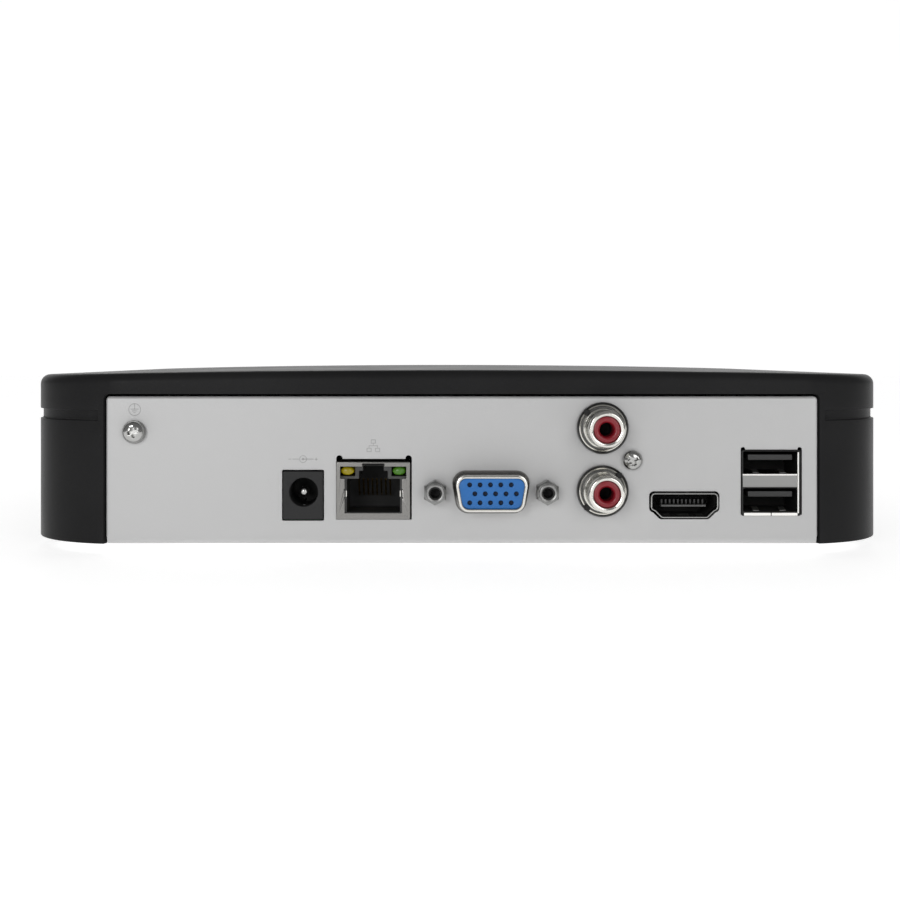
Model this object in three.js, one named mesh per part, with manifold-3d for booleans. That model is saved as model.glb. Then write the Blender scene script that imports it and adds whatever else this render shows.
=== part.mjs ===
// A slim desktop video recorder: black cover, folded steel tray with its socket panel at the rear,
// main board, hard disk drive and front indicator board.
// Millimetres, +Z up. The socket panel faces -Y, and the feet stand on z = 0.
import * as THREE from 'three';
import { mergeVertices } from 'three/addons/utils/BufferGeometryUtils.js';
import Module from 'manifold-3d';

const wasm = await Module();
wasm.setup();

// ---------------------------------------------------------------- driving dimensions

const BODY_WIDTH = 198;
const BODY_DEPTH = 203;
const SIDE_HEIGHT = 38.2; // from the body's bottom edge to the rim of the roof
const ROOF_CROWN = 0.8; // how far the middle of the roof stands above its rim
const CORNER_RADIUS = 25;
const ROOF_FILLET = 2.2;
const WALL = 2.2;
const SHEET = 0.8;
const GAP = 0.3; // between pieces that touch on the real object
const FOOT_HEIGHT = 2.5;
const FOOT_RADIUS = 7;

const PANEL_LEFT = -79.1;
const PANEL_RIGHT = 80.4;
const PANEL_TOP = 33.3;
const PANEL_RECESS = 1.0; // how far the panel lies behind the cover's rear face
const PANEL_BEND = 1.2;
const TRAY_RIM = 8;
const BARREL_REACH = 9.5; // how far the audio barrels stand out of the panel

const GROOVE_LOW = 27.7;
const GROOVE_HIGH = 29.9;
const GROOVE_DEPTH = 0.65;
const GROOVE_END = 1.4; // plain cover between the groove's end and the panel

const BOARD_TOP = 5.2;
const BOARD_THICK = 1.6;
const SEAT = BOARD_TOP + GAP; // underside of what stands on the board
const BOARD_BACK = -93.5;
const BOARD_FRONT = -16;
const BOARD_LEFT = -78;
const BOARD_RIGHT = 79;

const DRIVE_LENGTH = 147;
const DRIVE_WIDTH = 101.6;
const DRIVE_HEIGHT = 26.1;
const DRIVE_BOSS = 1.7; // the raised seats under the drive
const DRIVE_LEFT = -62;
const DRIVE_BACK = -5;

// The overhang of the audio barrels shifts the body forward, so that the whole object is centred.
const OVERHANG = BARREL_REACH - PANEL_RECESS;
const REAR_Y = -(BODY_DEPTH - OVERHANG) / 2;
const FRONT_Y = REAR_Y + BODY_DEPTH;
const PANEL_Y = REAR_Y + PANEL_RECESS;
const CENTRE_Y = (REAR_Y + FRONT_Y) / 2;
const ROOF_UNDERSIDE = SIDE_HEIGHT - WALL;
const DRIVE_Z = SHEET + DRIVE_BOSS + GAP;
const BEHIND = SHEET + GAP; // depth at which a piece behind the panel starts

// Places on the socket panel: x across, z above the body's bottom edge.
const EARTH_PLACE = [-72.6, 25.1];
const PANEL_SCREW_PLACE = [38.9, 18.8];
const POWER_PLACE = [-34.85, 10.9];
const NETWORK_PLACE = [-19.1, 11.95];
const VIDEO_PLACE = [7.25, 11.7];
const JACK_SCREW_OFFSET = 12.5;
const AUDIO_X = 32.2;
const AUDIO_HEIGHTS = { upper: 26.0, lower: 11.9 };
const DIGITAL_VIDEO_PLACE = [50.6, 8.65];
const USB_PLACE = [70.0, 13.6];

const FOOT_PLACES = [[-76, REAR_Y + 32], [76, REAR_Y + 32], [-76, FRONT_Y - 30], [76, FRONT_Y - 30]];
const BOARD_SCREW_PLACES = [[-72, -86], [60, -78], [-40, -21], [72, -21]];
const COVER_SCREW_PLACES = [[-90, -60], [90, -60], [-90, 70], [90, 70]];
const DRIVE_SCREW_PLACES = [
  [DRIVE_LEFT + 41.3, DRIVE_BACK + 3.2],
  [DRIVE_LEFT + 85.7, DRIVE_BACK + 3.2],
  [DRIVE_LEFT + 41.3, DRIVE_BACK + DRIVE_WIDTH - 3.2],
  [DRIVE_LEFT + 85.7, DRIVE_BACK + DRIVE_WIDTH - 3.2],
];

// ---------------------------------------------------------------- materials

function paint(color, roughness, metalness) {
  return new THREE.MeshStandardMaterial({ color, roughness, metalness });
}

const blackShell = paint(0x1c1c1e, 0.45, 0);
const greySheet = paint(0xb9b9b9, 0.5, 0.7);
const plated = paint(0xc9c8c2, 0.25, 1);
const blackMoulding = paint(0x121214, 0.5, 0);
const blueMoulding = paint(0x1f6fc4, 0.45, 0);
const redMoulding = paint(0xa81c2c, 0.4, 0);
const yellowLens = paint(0xc9a800, 0.25, 0);
const greenLens = paint(0x4ba83a, 0.25, 0);
const clearLens = paint(0xd8dde0, 0.2, 0);
const greenBoard = paint(0x1e5a35, 0.5, 0);
const castMetal = paint(0x9a9da0, 0.5, 0.8);
const mirrorDisk = paint(0xd7dadd, 0.08, 1);
const rubber = paint(0x202020, 0.9, 0);
const whiteMoulding = paint(0xe3e0d6, 0.5, 0);
const redCable = paint(0xa02020, 0.55, 0);

// ---------------------------------------------------------------- joining and cutting

const SNAPS_PER_MM = 1000;

// Vertices are snapped to a fine grid, so that faces meant to lie in one plane really do.
function toSolid(geometry) {
  const bare = geometry.clone();
  bare.deleteAttribute('normal');
  bare.deleteAttribute('uv');
  const places = bare.attributes.position.array;
  places.forEach((value, i) => {
    places[i] = Math.round(value * SNAPS_PER_MM) / SNAPS_PER_MM;
  });
  const merged = mergeVertices(bare, 1e-3);
  const vertProperties = merged.attributes.position.array;
  const triVerts = new Uint32Array(merged.index.array);
  return new wasm.Manifold(new wasm.Mesh({ numProp: 3, vertProperties, triVerts }));
}

function toGeometry(solid) {
  const mesh = solid.getMesh();
  const geometry = new THREE.BufferGeometry();
  geometry.setAttribute('position', new THREE.BufferAttribute(mesh.vertProperties, 3));
  geometry.setIndex(new THREE.BufferAttribute(mesh.triVerts, 1));
  geometry.computeVertexNormals();
  return geometry;
}

// Joins the geometries of `added` into one, then takes away those of `removed`.
function combine(added, removed = []) {
  let solid = toSolid(added[0]);
  for (const geometry of added.slice(1)) {
    solid = solid.add(toSolid(geometry));
  }
  for (const geometry of removed) {
    solid = solid.subtract(toSolid(geometry));
  }
  return toGeometry(solid);
}

// ---------------------------------------------------------------- basic shapes

function block([x0, x1], [y0, y1], [z0, z1]) {
  const box = new THREE.BoxGeometry(x1 - x0, y1 - y0, z1 - z0);
  return box.translate((x0 + x1) / 2, (y0 + y1) / 2, (z0 + z1) / 2);
}

function rodY(x, z, radius, [y0, y1], sides = 16) {
  const rod = new THREE.CylinderGeometry(radius, radius, y1 - y0, sides);
  return rod.translate(x, (y0 + y1) / 2, z);
}

function rodZ(x, y, radius, [z0, z1], sides = 16) {
  const rod = new THREE.CylinderGeometry(radius, radius, z1 - z0, sides).rotateX(Math.PI / 2);
  return rod.translate(x, y, (z0 + z1) / 2);
}

// A closed outline through `points` with every corner rounded.
function roundedPolygon(points, radius) {
  const shape = new THREE.Shape();
  points.forEach((corner, i) => {
    const before = points[(i + points.length - 1) % points.length];
    const after = points[(i + 1) % points.length];
    const entry = stepTowards(corner, before, radius);
    const exit = stepTowards(corner, after, radius);
    if (i === 0) {
      shape.moveTo(...entry);
    } else {
      shape.lineTo(...entry);
    }
    shape.quadraticCurveTo(...corner, ...exit);
  });
  shape.closePath();
  return shape;
}

function stepTowards([x, y], [toX, toY], distance) {
  const share = distance / Math.hypot(toX - x, toY - y);
  return [x + (toX - x) * share, y + (toY - y) * share];
}

function rectangle([x0, x1], [y0, y1], radius) {
  return roundedPolygon([[x0, y0], [x1, y0], [x1, y1], [x0, y1]], radius);
}

// An outline drawn in x and z, carried from depth y0 to depth y1.
function prismY(shape, [y0, y1], curveSegments = 3) {
  const solid = new THREE.ExtrudeGeometry(shape, { depth: y1 - y0, bevelEnabled: false, curveSegments });
  return solid.rotateX(Math.PI / 2).translate(0, y1, 0);
}

// An outline drawn in x and y, carried from height z0 to height z1.
function prismZ(shape, [z0, z1], curveSegments = 3) {
  const solid = new THREE.ExtrudeGeometry(shape, { depth: z1 - z0, bevelEnabled: false, curveSegments });
  return solid.translate(0, 0, z0);
}

// A turned piece about the y axis. Each profile point is a radius and a place along the axis.
function turned(profile, sides) {
  const points = profile.map(([radius, along]) => new THREE.Vector2(radius, along));
  return new THREE.LatheGeometry(points, sides);
}

// A cable of the section `width` by `height` along a smooth curve through `points`.
function cable(points, width, height, steps) {
  const curve = new THREE.CatmullRomCurve3(points.map((point) => new THREE.Vector3(...point)));
  const section = width === height
    ? new THREE.Shape(new THREE.EllipseCurve(0, 0, width / 2, height / 2).getPoints(8).slice(0, 8))
    : rectangle([-width / 2, width / 2], [-height / 2, height / 2], height / 3);
  const options = { steps, extrudePath: curve, bevelEnabled: false, curveSegments: 1 };
  return new THREE.ExtrudeGeometry(section, options);
}

// ---------------------------------------------------------------- the body's outline

const CORNER_STEPS = 6;

// The plan outline of the body, drawn in by `inset`, at height z.
function bodyRing(inset, z) {
  const radius = Math.max(CORNER_RADIUS - inset, 4);
  const halfWidth = BODY_WIDTH / 2 - inset - radius;
  const halfDepth = BODY_DEPTH / 2 - inset - radius;
  const ring = [];
  const quadrants = [[1, 1], [-1, 1], [-1, -1], [1, -1]];
  quadrants.forEach(([sideX, sideY], quadrant) => {
    for (let i = 0; i <= CORNER_STEPS; i += 1) {
      const angle = (quadrant + i / CORNER_STEPS) * Math.PI / 2;
      const x = sideX * halfWidth + radius * Math.cos(angle);
      const y = CENTRE_Y + sideY * halfDepth + radius * Math.sin(angle);
      ring.push(new THREE.Vector3(x, y, z));
    }
  });
  return ring;
}

// A closed solid skinned over rings of equal length, with flat ends.
function loft(rings) {
  const count = rings[0].length;
  const positions = rings.flat().flatMap((point) => [point.x, point.y, point.z]);
  const index = [];
  for (let level = 0; level < rings.length - 1; level += 1) {
    for (let i = 0; i < count; i += 1) {
      const a = level * count + i;
      const b = level * count + (i + 1) % count;
      index.push(a, b, b + count, a, b + count, a + count);
    }
  }
  const top = (rings.length - 1) * count;
  for (let i = 1; i < count - 1; i += 1) {
    index.push(0, i + 1, i);
    index.push(top, top + i, top + i + 1);
  }
  const geometry = new THREE.BufferGeometry();
  geometry.setAttribute('position', new THREE.Float32BufferAttribute(positions, 3));
  geometry.setIndex(index);
  return geometry;
}

// ---------------------------------------------------------------- cover

// Rings of the roof: a quarter-round fillet, then a shallow pillow up to the crown.
function roofRings() {
  const rings = [];
  for (let i = 0; i <= 3; i += 1) {
    const angle = (i / 3) * Math.PI / 2;
    const inset = ROOF_FILLET * (1 - Math.cos(angle));
    rings.push(bodyRing(inset, SIDE_HEIGHT - ROOF_FILLET * (1 - Math.sin(angle))));
  }
  for (const share of [0.12, 0.35, 0.7]) {
    const inset = ROOF_FILLET + share * 90;
    rings.push(bodyRing(inset, SIDE_HEIGHT + ROOF_CROWN * Math.sqrt(share / 0.7)));
  }
  return rings;
}

function coverOuter(withGroove) {
  const groove = [
    bodyRing(0, GROOVE_LOW),
    bodyRing(GROOVE_DEPTH, GROOVE_LOW),
    bodyRing(GROOVE_DEPTH, GROOVE_HIGH),
    bodyRing(0, GROOVE_HIGH),
  ];
  return loft([bodyRing(0, 0), ...(withGroove ? groove : []), ...roofRings()]);
}

function panelOpening() {
  const outline = roundedPolygon(
    [[PANEL_LEFT, -5], [PANEL_RIGHT, -5], [PANEL_RIGHT, PANEL_TOP], [PANEL_LEFT, PANEL_TOP]],
    1.2,
  );
  return prismY(outline, [REAR_Y - 1, REAR_Y + 9]);
}

// Short plain stretches that end the groove on each side of the panel.
function grooveEnds() {
  const depth = [REAR_Y - 1, REAR_Y + 4];
  const height = [GROOVE_LOW - 0.2, GROOVE_HIGH + 0.2];
  const ends = combine([
    block([PANEL_LEFT - GROOVE_END, PANEL_LEFT], depth, height),
    block([PANEL_RIGHT, PANEL_RIGHT + GROOVE_END], depth, height),
  ]);
  return toGeometry(toSolid(ends).intersect(toSolid(coverOuter(false))));
}

const BOSS_RADIUS = 3.5;
const BOSS_BOTTOM = SHEET + GAP;
const WINDOW_HALF = 18;
const WINDOW_Z = [GROOVE_LOW + 0.2, GROOVE_HIGH - 0.2];

function screwBoss([x, y]) {
  const side = Math.sign(x);
  const ribEnds = [side * 92, side * (BODY_WIDTH / 2 - WALL + 0.5)].sort((a, b) => a - b);
  return combine([
    rodZ(x, y, BOSS_RADIUS, [BOSS_BOTTOM, ROOF_UNDERSIDE + 0.5], 10),
    block(ribEnds, [y - 0.8, y + 0.8], [TRAY_RIM + 4, ROOF_UNDERSIDE + 0.5]),
  ]);
}

function topCover() {
  const hollow = loft([bodyRing(WALL, -1), bodyRing(WALL, ROOF_UNDERSIDE)]);
  const shell = combine([coverOuter(true), grooveEnds()], [hollow, panelOpening()]);
  const windowSlot = block([-WINDOW_HALF, WINDOW_HALF], [FRONT_Y - WALL - 1, FRONT_Y + 1], WINDOW_Z);
  const bosses = COVER_SCREW_PLACES.map(screwBoss);
  const holes = COVER_SCREW_PLACES.map(([x, y]) => rodZ(x, y, 1.7, [BOSS_BOTTOM - 1, BOSS_BOTTOM + 11], 8));
  return combine([shell, ...bosses], [windowSlot, ...holes]);
}

function indicatorWindow() {
  const across = [-WINDOW_HALF + GAP, WINDOW_HALF - GAP];
  const depth = [FRONT_Y - WALL + 0.1, FRONT_Y - GROOVE_DEPTH + 0.2];
  return block(across, depth, [WINDOW_Z[0] + 0.1, WINDOW_Z[1] - 0.1]);
}

// ---------------------------------------------------------------- tray and socket panel

const TRAY_INSET = WALL + GAP;

function trayPan() {
  const bend = 1.5;
  const corner = bend * 0.3;
  const outer = loft([
    bodyRing(TRAY_INSET + bend, 0),
    bodyRing(TRAY_INSET + corner, corner),
    bodyRing(TRAY_INSET, bend),
    bodyRing(TRAY_INSET, TRAY_RIM),
  ]);
  const inner = loft([
    bodyRing(TRAY_INSET + bend, SHEET),
    bodyRing(TRAY_INSET + SHEET, bend),
    bodyRing(TRAY_INSET + SHEET, TRAY_RIM + 1),
  ]);
  const rearGap = block([PANEL_LEFT + 2, PANEL_RIGHT - 2], [REAR_Y, REAR_Y + 9], [SHEET + GAP, TRAY_RIM + 1]);
  return combine([outer], [inner, rearGap]);
}

// The panel and the strip of floor that it folds up from, drawn in depth and height.
function foldedPanel() {
  const inner = PANEL_BEND - SHEET;
  const floorEnd = 8;
  const section = new THREE.Shape();
  section.moveTo(0, PANEL_TOP - GAP);
  section.lineTo(0, PANEL_BEND);
  section.absarc(PANEL_BEND, PANEL_BEND, PANEL_BEND, Math.PI, Math.PI * 1.5, false);
  section.lineTo(floorEnd, 0);
  section.lineTo(floorEnd, SHEET);
  section.lineTo(PANEL_BEND, SHEET);
  section.absarc(PANEL_BEND, PANEL_BEND, inner, Math.PI * 1.5, Math.PI, true);
  section.lineTo(SHEET, PANEL_TOP - GAP);
  section.closePath();
  const width = PANEL_RIGHT - PANEL_LEFT - 2 * GAP;
  const strip = new THREE.ExtrudeGeometry(section, { depth: width, bevelEnabled: false, curveSegments: 4 });
  strip.rotateX(Math.PI / 2).rotateZ(Math.PI / 2);
  strip.translate(PANEL_LEFT + GAP, PANEL_Y, 0);
  const cornerCuts = [PANEL_LEFT + GAP, PANEL_RIGHT - GAP].map((x) => {
    const cutter = block([-0.7, 0.7], [-1, 1 + SHEET], [-0.7, 0.7]).rotateY(Math.PI / 4);
    return cutter.translate(x, PANEL_Y, PANEL_TOP - GAP);
  });
  return combine([strip], cornerCuts);
}

// Outline of the analogue video socket: wide at the top, with sides that lean in.
function videoOutline(width, height, radius) {
  const lean = height * Math.tan(THREE.MathUtils.degToRad(10));
  const half = width / 2;
  const corners = [
    [-half + lean, -height / 2],
    [half - lean, -height / 2],
    [half, height / 2],
    [-half, height / 2],
  ];
  return roundedPolygon(corners, radius);
}

// Outline of the digital video socket: a rectangle with its lower corners cut off.
function digitalOutline(width, height, radius) {
  const half = width / 2;
  const cut = [2.4, 1.85];
  const corners = [
    [-half + cut[0], -height / 2],
    [half - cut[0], -height / 2],
    [half, -height / 2 + cut[1]],
    [half, height / 2],
    [-half, height / 2],
    [-half, -height / 2 + cut[1]],
  ];
  return roundedPolygon(corners, radius);
}

// A rectangular cut-out with a small relief in each upper corner.
function reliefCutout(halfWidth, halfHeight, through) {
  const relief = 0.7;
  return [
    prismY(rectangle([-halfWidth, halfWidth], [-halfHeight, halfHeight], 0.3), through, 1),
    rodY(-halfWidth + relief, halfHeight + 0.1, relief, through, 6),
    rodY(halfWidth - relief, halfHeight + 0.1, relief, through, 6),
  ];
}

function panelCutouts() {
  const through = [-2, SHEET + 1];
  const at = ([x, z], geometries) => geometries.map((geometry) => geometry.translate(x, 0, z));
  const cuts = [
    ...at(POWER_PLACE, [prismY(rectangle([-4.7, 4.7], [-5.7, 5.7], 0.3), through, 1)]),
    ...at(NETWORK_PLACE, reliefCutout(8.5, 6.85, through)),
    ...at(VIDEO_PLACE, [prismY(videoOutline(17.6, 9.4, 2.8), through, 3)]),
    ...at(DIGITAL_VIDEO_PLACE, [prismY(digitalOutline(15.6, 6.1, 0.6), through, 1)]),
    ...at(USB_PLACE, reliefCutout(6.95, 7.6, through)),
    rodY(...EARTH_PLACE, 2.0, through, 8),
    rodY(...PANEL_SCREW_PLACE, 1.9, through, 8),
  ];
  for (const side of [-1, 1]) {
    cuts.push(rodY(VIDEO_PLACE[0] + side * JACK_SCREW_OFFSET, VIDEO_PLACE[1], 1.8, through, 8));
  }
  for (const height of Object.values(AUDIO_HEIGHTS)) {
    cuts.push(rodY(AUDIO_X, height, 4.6, through, 16));
  }
  return cuts.map((cut) => cut.translate(0, PANEL_Y, 0));
}

function floorVents() {
  const slots = [];
  for (const [rowX, rowY] of [[-8, -52], [-8, 30]]) {
    for (let i = -3; i <= 3; i += 1) {
      const x = rowX + i * 9;
      slots.push(block([x - 1.1, x + 1.1], [rowY - 9, rowY + 9], [-1, SHEET + 1]));
    }
  }
  return slots;
}

function baseChassis() {
  const standoffTop = BOARD_TOP - BOARD_THICK - GAP;
  const boardPosts = BOARD_SCREW_PLACES.map(([x, y]) => rodZ(x, y, 3, [SHEET / 2, standoffTop], 8));
  const boardHoles = BOARD_SCREW_PLACES.map(([x, y]) => rodZ(x, y, 1.75, [-1, standoffTop + 1], 8));
  const driveSeats = DRIVE_SCREW_PLACES.map(([x, y]) => rodZ(x, y, 3.6, [SHEET / 2, SHEET + DRIVE_BOSS], 8));
  const screwHoles = [...DRIVE_SCREW_PLACES, ...COVER_SCREW_PLACES];
  const throughHoles = screwHoles.map(([x, y]) => rodZ(x, y, 2, [-1, SHEET + DRIVE_BOSS + 1], 8));
  const bracket = block([-22, 22], [FRONT_Y - TRAY_INSET - SHEET, FRONT_Y - TRAY_INSET], [2, 24]);
  const corners = [
    block([PANEL_LEFT + GAP, PANEL_LEFT + 3], [PANEL_Y + 0.2, PANEL_Y + 3], [SHEET / 2, TRAY_RIM]),
    block([PANEL_RIGHT - 3, PANEL_RIGHT - GAP], [PANEL_Y + 0.2, PANEL_Y + 3], [SHEET / 2, TRAY_RIM]),
  ];
  const earthNut = rodY(...EARTH_PLACE, 3.4, [PANEL_Y + SHEET / 2, PANEL_Y + 3], 8);
  const earthHole = rodY(...EARTH_PLACE, 2.0, [PANEL_Y - 1, PANEL_Y + 5], 8);
  return combine(
    [trayPan(), foldedPanel(), ...corners, bracket, ...boardPosts, ...driveSeats, earthNut],
    [...panelCutouts(), earthHole, ...boardHoles, ...throughHoles, ...floorVents()],
  );
}

// ---------------------------------------------------------------- screws and feet

// A cross-recessed screw along z, its head above z = 0 and its shank below.
function panScrew({ head, height, shank, length, sides }) {
  const profile = [
    [0, -length],
    [shank, -length],
    [shank, 0],
    [head, 0],
    [head, height * 0.45],
    [head * 0.8, height * 0.85],
    [0, height],
  ];
  const recess = head * 0.62;
  const slot = head * 0.17;
  const deep = [height * 0.35, height + 1];
  return combine(
    [turned(profile, sides).rotateX(Math.PI / 2)],
    [block([-recess, recess], [-slot, slot], deep), block([-slot, slot], [-recess, recess], deep)],
  );
}

function foot() {
  const profile = [
    [0, -FOOT_HEIGHT],
    [FOOT_RADIUS - 0.6, -FOOT_HEIGHT],
    [FOOT_RADIUS, -FOOT_HEIGHT + 0.6],
    [FOOT_RADIUS - 0.5, -GAP],
    [0, -GAP],
  ];
  return turned(profile, 24).rotateX(Math.PI / 2);
}

// ---------------------------------------------------------------- sockets, y = 0 at the panel's face

function powerHousing() {
  const bore = rodY(0.15, 0.75, 3.17, [-1, 10], 24);
  return combine([block([-4.5, 4.5], [-0.4, 13.7], [-5.4, 5.4])], [bore]);
}

function powerPin() {
  return turned([[0, 9.7], [1, 9.7], [1, 1.2], [0.75, 0.75], [0, 0.5]].reverse(), 12);
}

const PORT_HALF = 6.4;
const LAMP_SPAN = [4.1, 7.4];
const LAMP_HEIGHT = [3.05, 5.45];

function networkShield() {
  const face = [-1, 0.5];
  return combine(
    [block([-8.25, 8.25], [-0.5, 15.5], [-6.45, 6.45])],
    [
      block([-7.9, 7.9], [-0.15, 15.15], [-7, 6.1]),
      block([-PORT_HALF, PORT_HALF], face, [-5, 3.05]),
      block([-3.2, 3.2], face, [3, 4.45]),
      block([-2.4, 2.4], face, [4.4, 6.1]),
      block([-LAMP_SPAN[1], -LAMP_SPAN[0]], face, LAMP_HEIGHT),
      block([LAMP_SPAN[0], LAMP_SPAN[1]], face, LAMP_HEIGHT),
    ],
  );
}

function networkInsert() {
  const deep = [-1, 13];
  const pocket = [-1, 6.5];
  return combine(
    [block([-7.6, 7.6], [0.2, 14.8], [-6.3, 5.8])],
    [
      block([-6, 6], deep, [-4.9, 3]),
      block([-3.1, 3.1], deep, [2.9, 4.4]),
      block([-2.3, 2.3], deep, [4.3, 7]),
      block([-9, -LAMP_SPAN[0]], pocket, [2.9, 7]),
      block([LAMP_SPAN[0], 9], pocket, [2.9, 7]),
    ],
  );
}

function networkLamp() {
  const profile = [[0, 6], [1, 6], [1, 0.9], [0.75, 0.25], [0.4, -0.05], [0, -0.15]].reverse();
  return turned(profile, 16).scale(1.4, 1, 1);
}

function videoShell() {
  const plate = rectangle([-15.4, 15.4], [-6.1, 6.1], 1);
  return combine(
    [prismY(plate, [BEHIND, BEHIND + 0.6], 2), prismY(videoOutline(16.9, 8.7, 2.6), [-5.8, BEHIND + 0.3], 4)],
    [
      prismY(videoOutline(15.7, 7.5, 2.2), [-7, 4], 4),
      rodY(-JACK_SCREW_OFFSET, 0, 1.8, [0, 4], 12),
      rodY(JACK_SCREW_OFFSET, 0, 1.8, [0, 4], 12),
    ],
  );
}

// Three staggered rows of five contact holes.
function contactHoles() {
  const pitch = 2.29;
  const rowPitch = 1.98;
  const holes = [];
  for (let row = -1; row <= 1; row += 1) {
    const shift = row === 0 ? 0.83 : -0.32;
    for (let column = -2; column <= 2; column += 1) {
      holes.push(rodY(column * pitch + shift, row * rowPitch, 0.53, [-7, -2], 6));
    }
  }
  return holes;
}

function videoInsulator() {
  return combine(
    [prismY(videoOutline(15.1, 6.9, 2.0), [-5.4, 3], 4), block([-15.4, 15.4], [2.0, 9.0], [-6.1, 6.1])],
    [
      ...contactHoles(),
      rodY(-JACK_SCREW_OFFSET, 0, 1.8, [1, 10], 12),
      rodY(JACK_SCREW_OFFSET, 0, 1.8, [1, 10], 12),
    ],
  );
}

function jackScrew() {
  return combine(
    [
      rodY(0, 0, 2.8, [-3.8, -GAP], 6),
      rodY(0, 0, 2.1, [-5, -3.6], 16),
      rodY(0, 0, 1.4, [-0.5, 8], 10),
    ],
    [rodY(0, 0, 1.25, [-6, -0.8], 12)],
  );
}

// One moulded housing behind both audio barrels, with an ear for the panel screw.
function audioHousing() {
  const bores = Object.values(AUDIO_HEIGHTS).map((height) => rodY(AUDIO_X, height, 4.5, [0, 6], 20));
  const screwHole = rodY(...PANEL_SCREW_PLACE, 1.8, [0, 10], 10);
  return combine([block([25.2, 41.6], [BEHIND, 15], [SEAT, PANEL_TOP - 1])], [...bores, screwHole]);
}

function audioBarrel() {
  const profile = [
    [3.3, 5],
    [4.15, 5],
    [4.15, -GAP],
    [5.82, -GAP],
    [5.82, -1.4],
    [4.9, -1.7],
    [4.9, -2.7],
    [4.15, -2.9],
    [4.15, -BARREL_REACH + 0.4],
    [3.8, -BARREL_REACH],
    [3.3, -BARREL_REACH + 0.3],
    [3.3, 5],
  ];
  return turned(profile.reverse(), 20);
}

function audioInsulator() {
  const face = -BARREL_REACH + 0.5;
  const profile = [[0, 5], [3, 5], [3, face + 0.2], [2.8, face], [1.6, face], [1.6, -1], [0, -1]];
  return turned(profile.reverse(), 18);
}

function digitalVideoShell() {
  const outer = prismY(digitalOutline(15.0, 5.5, 0.7), [-0.5, 11.5], 2);
  return combine([outer], [prismY(digitalOutline(14.1, 4.6, 0.5), [-1, 11], 2)]);
}

function digitalVideoTongue() {
  return combine([
    block([-5, 5], [0.4, 8], [-0.35, 0.45]),
    prismY(digitalOutline(13.5, 4.0, 0.4), [7.5, 10.7], 1),
  ]);
}

const USB_PORT_HEIGHTS = { upper: [2.1, 7.0], lower: [-6.35, -1.25] };

function usbShell() {
  const ports = Object.values(USB_PORT_HEIGHTS).map((height) => block([-6.2, 6.2], [-1, 16.6], height));
  return combine([block([-6.6, 6.6], [-0.4, 17], [-7.3, 7.4])], ports);
}

function usbTongue([low, high]) {
  return combine([
    block([-5.15, 5.15], [0.8, 13.2], [high - 1.7, high - 0.5]),
    block([-5.9, 5.9], [13, 16.3], [low + GAP, high - GAP]),
  ]);
}

// ---------------------------------------------------------------- main board and what stands on it

function mainBoard() {
  const outline = rectangle([BOARD_LEFT, BOARD_RIGHT], [BOARD_BACK, BOARD_FRONT], 5);
  const holes = BOARD_SCREW_PLACES.map(([x, y]) => rodZ(x, y, 1.9, [0, BOARD_TOP + 1], 10));
  return combine([prismZ(outline, [BOARD_TOP - BOARD_THICK, BOARD_TOP])], holes);
}

function heatSink() {
  const half = 14;
  const fins = [];
  for (let i = 0; i < 7; i += 1) {
    const x = -half + i * (2 * half - 1.4) / 6;
    fins.push(block([x, x + 1.4], [-half, half], [1.5, 9]));
  }
  return combine([block([-half, half], [-half, half], [0, 2]), ...fins]);
}

function coinCellHolder() {
  const cuts = [rodZ(0, 0, 10.4, [1, 5], 24), block([-3, 3], [-13, 0], [1, 5])];
  return combine([rodZ(0, 0, 12, [0, 4], 24)], cuts);
}

function capacitor() {
  const profile = [[0, 0], [5, 0], [5, 1], [4.7, 1.5], [5, 2], [5, 11.7], [4.6, 12], [0, 12]];
  return turned(profile, 20).rotateX(Math.PI / 2);
}

function buzzer() {
  return combine([rodZ(0, 0, 6, [0, 8.5], 20)], [rodZ(0, 0, 1.2, [6, 9], 8)]);
}

const DATA_X = DRIVE_LEFT - 5.3;
const DATA_SOCKET_Y = -30;
const DATA_DRIVE_Y = 20;
const POWER_DRIVE_Y = 38;
const POWER_SOCKET_Y = -45;
const PLUG_Z = 10;

function dataSocket() {
  return combine([block([-8.5, 8.5], [-2.7, 2.7], [0, 8])], [block([-6, 6], [-1.2, 1.2], [3, 9])]);
}

function powerSocket() {
  return combine([block([-3.6, 3.6], [-5, 5], [0, 5.6])], [block([-5, 2], [-4, 4], [1.2, 4.6])]);
}

// The flat drive cable, from its plug above the board socket to its angled plug at the drive.
function dataCable() {
  const x = DATA_X;
  const boardPlug = block([x - 7, x + 7], [DATA_SOCKET_Y - 3.4, DATA_SOCKET_Y + 3.4], [13.8, 21]);
  const drivePlug = block([x - 5, x + 5], [DATA_DRIVE_Y - 7, DATA_DRIVE_Y + 6], [PLUG_Z - 2.5, PLUG_Z + 2.5]);
  const route = [
    [x, DATA_SOCKET_Y + 2, 18],
    [x, DATA_SOCKET_Y + 8, 18.2],
    [x, DATA_SOCKET_Y + 17, 16.5],
    [x, DATA_SOCKET_Y + 27, 12.5],
    [x, DATA_SOCKET_Y + 36, 10.3],
    [x, DATA_DRIVE_Y - 4, PLUG_Z],
  ];
  return combine([cable(route, 8, 1.6, 16), boardPlug, drivePlug]);
}

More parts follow.
